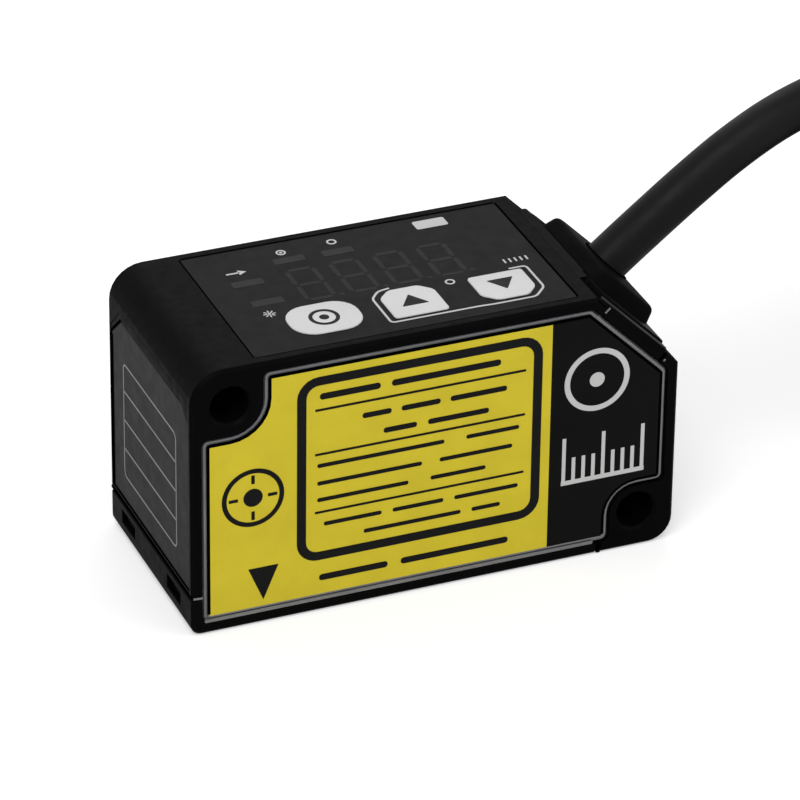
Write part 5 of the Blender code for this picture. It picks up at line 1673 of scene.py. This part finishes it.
class Cable(Assembly[CableSizes]):
    """The cable from the clamp to its bare end, with the tie and the five leads."""

    lead_names = ("brown", "blue", "black", "grey", "pink")
    lead_starts = (162.0, 234.0, 90.0, 306.0, 18.0)

    def cell(self, turn: int) -> tuple[float, float]:
        """Where a turn lies in the hank's section.

        Args:
            turn: The turn's number from the tail.

        Returns:
            Its radius at the folds and its height.
        """
        sizes = self.sizes
        level, column = divmod(turn, 2)
        if level % 2:
            column = 1 - column
        return sizes.inner_radius + column * sizes.diameter, sizes.floor + (level + 0.5) * sizes.diameter

    def fold(self, side: int, radius: float, height: float) -> list[Vector]:
        """Half a round of the hank.

        Args:
            side: 1 for the far fold, -1 for the near one.
            radius: The fold's radius.
            height: Its height.

        Returns:
            Its points, counter-clockwise seen from above.
        """
        sizes = self.sizes
        steps = max(8, round(math.pi * radius / sizes.step))
        points = []
        for step in range(steps + 1):
            turn = math.pi * (step / steps - 0.5 * side)
            x = sizes.middle + side * sizes.half_run + radius * math.cos(turn)
            points.append(Vector((x, radius * math.sin(turn), height)))
        return points

    def crossing(self, turn: int) -> list[Vector]:
        """The near run, on which each turn moves over to the next one's place.

        Args:
            turn: The turn that ends here.

        Returns:
            The points between the two folds.
        """
        sizes = self.sizes
        (r1, z1), (r2, z2) = self.cell(turn), self.cell(turn + 1)
        outward = 1.0 if r1 > sizes.inner_radius else -1.0
        swell = sizes.bulge * outward if abs(z2 - z1) > 0 else 0.0
        steps = round(2 * sizes.half_run / sizes.step)
        points = []
        for step in range(1, steps):
            share = step / steps
            eased = smooth_step(share)
            radius = r1 + (r2 - r1) * eased + swell * 16.0 * share**2 * (1.0 - share) ** 2
            x = sizes.middle + sizes.half_run * (2.0 * share - 1.0)
            points.append(Vector((x, -radius, z1 + (z2 - z1) * eased)))
        return points

    def far_run(self, radius: float, height: float) -> list[Vector]:
        """The straight run on the far side, between the two folds."""
        sizes = self.sizes
        steps = round(2 * sizes.half_run / sizes.step)
        return [
            Vector((sizes.middle + sizes.half_run * (1.0 - 2.0 * step / steps), radius, height))
            for step in range(1, steps)
        ]

    def hank_route(self) -> list[Vector]:
        """The cable's route through the hank.

        Returns:
            Its points from the sheath's bare end to where the last turn leaves for the sensor.
        """
        sizes = self.sizes
        start_x, start_y = sizes.tail_end
        end_x = sizes.middle + sizes.half_run
        radius, height = self.cell(0)
        steps = round((end_x - start_x) / sizes.step)
        route = []
        for step in range(steps):
            share = step / steps
            y = start_y + (-radius - start_y) * smooth_step(share)
            route.append(Vector((start_x + (end_x - start_x) * share, y, height)))
        for turn in range(sizes.turns):
            radius, height = self.cell(turn)
            route += self.fold(1, radius, height)
            route += self.far_run(radius, height)
            route += self.fold(-1, radius, height)
            route += self.crossing(turn)
        return route + self.fold(1, *self.cell(sizes.turns))

    def route(self) -> list[Vector]:
        """The whole cable, from inside the corner to its bare end.

        Returns:
            Its points.
        """
        sizes = self.sizes
        free = [Vector(place) for place in (*sizes.inside, *sizes.route, *sizes.sink)]
        hank = self.hank_route()[::-1]
        joint = smooth_route([free[-1], *hank[:2]], sizes.step)[:-2]
        return smooth_route(free, sizes.spacing)[:-1] + joint + hank

    def build(self) -> None:
        """The cable, its tie and its leads."""
        sizes = self.sizes
        cable = tube("cable_sheath", self.route(), sizes.diameter / 2, self.finishes["cable_vinyl"])
        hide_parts("cable", "cable_hank", "cable_tail")
        tie = self.build_tie()
        leads = self.build_leads()

    def build_tie(self) -> Piece:
        """The strap round the hank, with its end laid back over itself.

        Returns:
            The new piece.
        """
        sizes = self.sizes
        low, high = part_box("cable_tie")
        thick, head = sizes.strap_thick, sizes.strap_head
        left, right = sizes.strap_span
        corners = ((left, thick / 2), (right, thick / 2), (right, head), (left, head))
        half = (high.x - low.x) / MM / 2
        loop = line(corners, thick, closed=True, radius=sizes.strap_radius, root=-half, rise=half)
        start, along, down = sizes.strap_lap
        over = head + thick
        lap_points = ((start, over), (right - along, over), (right + sizes.lap_clear, head - down))
        lap_half = half - sizes.lap_inset
        lap = line(lap_points, thick, radius=sizes.lap_radius, root=-lap_half, rise=lap_half)
        middle = face_across((low.x + high.x) / 2)
        strap = self.lay_on("cable_strap", [loop, lap], middle, "woven_strap", "tie")
        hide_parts("cable_tie")
        return strap

    def build_leads(self) -> list[Piece]:
        """Five insulated leads that fan out on the surface, each with a tinned tip.

        Returns:
            The new pieces.
        """
        sizes = self.sizes
        radius, spacing = sizes.lead_radius, sizes.lead_spacing
        far, out, spread = sizes.lead_down
        end = Vector((*sizes.tail_end, sizes.floor + sizes.diameter / 2))
        heading, side = Vector((-1.0, 0.0, 0.0)), Vector((0.0, 1.0, 0.0))
        bundle = (2 * radius + sizes.lead_gap) / (2 * math.sin(math.pi / len(self.lead_names)))
        pieces = []
        for number, name in enumerate(self.lead_names):
            fan = number - (len(self.lead_names) - 1) / 2
            turn = math.radians(self.lead_starts[number])
            start = end - heading * sizes.lead_inside + side * bundle * math.cos(turn)
            start.z = end.z + bundle * math.sin(turn)
            down = end + heading * far + side * (out + fan * spread)
            tip = end + heading * sizes.lead_length + side * (sizes.lead_fan[0] + fan * sizes.lead_fan[1])
            down.z = tip.z = sizes.floor + radius
            route = smooth_route([start, start.lerp(down, 0.5), down, tip], spacing)
            count = round(sizes.lead_bare / spacing)
            colour, rounds = self.finishes[f"lead_{name}"], sizes.lead_rounds
            lead = tube(f"lead_{name}_wire", route[:-count], radius, colour, rounds)
            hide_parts(f"lead_{name}")
            bright, tinned = self.finishes["tinned_copper"], route[-count - sizes.tip_overlap:]
            bare_tip = tube(f"lead_{name}_tip", tinned, radius * sizes.tip_share, bright, rounds)
            pieces += [lead, bare_tip]
        return pieces


class Inside(Assembly[None]):
    """The optics and the electronics inside the housing."""

    dressing = {
        "optical_bench": "bench_moulding", "laser_holder": "turned_brass", "laser_diode": "gilt_can",
        "collimator_lens": "lens_glass", "receiver_lens": "lens_glass", "receiver_ring": "black_moulding",
        "sensor_board": "circuit_mask", "image_sensor": "epoxy_black", "main_board": "circuit_mask",
        "display_board": "circuit_mask", "processor": "epoxy_black", "board_link": "black_moulding",
        "lead_connector": "white_moulding", "bench_screw_1": "turned_steel", "bench_screw_2": "turned_steel",
        "board_screw_1": "turned_steel", "board_screw_2": "turned_steel",
    }

    lead_degrees = 60.0

    def build(self) -> None:
        """Refine each inner piece with its finish."""
        for node, finish in self.dressing.items():
            self.refine(node, finish)
        for name in Cable.lead_names:
            self.refine(f"inner_lead_{name}", f"lead_{name}", self.lead_degrees)


@dataclass
class Studio:
    """The camera, the floor and the soft light."""

    lens: float = 242.5
    eye: Place = (-0.15189, -0.36668, 0.24240)
    right: Place = (0.92581, -0.37780, 0.01173)
    up: Place = (0.17977, 0.46738, 0.86558)
    back: Place = (-0.33250, -0.79926, 0.50063)
    floor_size: float = 3.0
    floor_height: float = -0.00005
    floor_colour: Colour = (0.86, 0.86, 0.86)
    floor_lift: float = 0.33
    sky: float = 0.47
    aim: Place = (0.0, 0.0, 0.012)
    lamps: tuple[tuple[str, Place, float, float], ...] = (
        ("key_light", (-0.35, -0.45, 0.75), 0.60, 4.2),
        ("fill_light", (0.55, -0.35, 0.40), 0.60, 1.3),
        ("back_light", (0.10, 0.60, 0.60), 0.60, 1.3),
    )

    def build(self) -> None:
        """Make the camera, the world, the floor and the lamps."""
        self.build_camera()
        self.build_world()
        self.build_floor()
        for name, place, size, power in self.lamps:
            self.build_lamp(name, Vector(place), size, power)

    def build_camera(self) -> None:
        """The camera at the photograph's viewing angle."""
        data = bpy.data.cameras.new("photo_camera")
        data.sensor_width = 36.0
        data.lens = self.lens
        data.clip_start, data.clip_end = 0.01, 10.0
        camera = bpy.data.objects.new("photo_camera", data)
        bpy.context.scene.collection.objects.link(camera)
        turn = Matrix((self.right, self.up, self.back)).transposed().to_4x4()
        camera.matrix_world = Matrix.Translation(self.eye) @ turn
        bpy.context.scene.camera = camera

    def seen_directly(self, tree: bpy.types.NodeTree, diffuse: float) -> Socket:
        """A strength of 1 for what the camera, a mirror or glass sees, and less for the light itself.

        Args:
            tree: The node tree that gets the nodes.
            diffuse: The strength for all other rays.

        Returns:
            The strength.
        """
        rays = tree.nodes.new("ShaderNodeLightPath")
        seen = rays.outputs["Is Camera Ray"]
        for name in ("Is Glossy Ray", "Is Transmission Ray"):
            either = tree.nodes.new("ShaderNodeMath")
            either.operation = "MAXIMUM"
            tree.links.new(seen, either.inputs[0])
            tree.links.new(rays.outputs[name], either.inputs[1])
            seen = either.outputs[0]
        strength = tree.nodes.new("ShaderNodeMapRange")
        strength.inputs["To Min"].default_value = diffuse
        strength.inputs["To Max"].default_value = 1.0
        tree.links.new(seen, strength.inputs["Value"])
        return strength.outputs["Result"]

    def build_world(self) -> None:
        """A white sky that lights softly."""
        world = bpy.data.worlds.new("studio")
        world.use_nodes = True
        bpy.context.scene.world = world
        background = world.node_tree.nodes["Background"]
        background.inputs["Color"].default_value = (1.0, 1.0, 1.0, 1.0)
        strength = self.seen_directly(world.node_tree, self.sky)
        world.node_tree.links.new(strength, background.inputs["Strength"])
        bpy.context.scene.view_settings.view_transform = "Standard"

    def build_floor(self) -> None:
        """A pale floor that keeps the object's shadow."""
        bpy.ops.mesh.primitive_plane_add(size=self.floor_size, location=(0.0, 0.0, self.floor_height))
        floor = bpy.context.object
        floor.name = "studio_floor"
        desk = Desk("pale_floor")
        desk.set("Base Color", self.floor_colour)
        desk.set("Roughness", 0.9)
        desk.set("Specular IOR Level", 0.0)
        desk.set("Emission Color", (1.0, 1.0, 1.0))
        rays = desk.node("LightPath")
        lift = desk.sum("MULTIPLY", rays.outputs["Is Camera Ray"], self.floor_lift)
        desk.join(lift, desk.shader.inputs["Emission Strength"])
        dress(floor, desk.material)

    def build_lamp(self, name: str, place: Vector, size: float, power: float) -> None:
        """A square soft lamp that points at the object.

        Args:
            name: Its name.
            place: Where it stands.
            size: Its side in metres.
            power: Its power in watts.
        """
        data = bpy.data.lights.new(name, "AREA")
        data.size = size
        data.energy = power
        lamp = bpy.data.objects.new(name, data)
        bpy.context.scene.collection.objects.link(lamp)
        aim = Vector(self.aim) - place
        lamp.location = place
        lamp.rotation_euler = aim.to_track_quat("-Z", "Y").to_euler()


def main() -> None:
    """Load the frame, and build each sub-assembly and the studio."""
    logging.basicConfig(level=logging.INFO, format="%(name)s %(message)s")
    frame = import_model()
    finishes = FinishSet()
    Studio().build()
    assemblies: tuple[Assembly, ...] = (
        Casing(frame, finishes, JointShadeSizes()),
        SidePanel(frame, finishes, SidePrint()),
        DisplayTop(frame, finishes, TopPrint()),
        EndPanel(frame, finishes, EndPrint()),
        CableExit(frame, finishes, ExitSizes()),
        Cable(frame, finishes, CableSizes()),
        Inside(frame, finishes, None),
    )
    for assembly in assemblies:
        assembly.build()


if __name__ == "__main__":
    main()
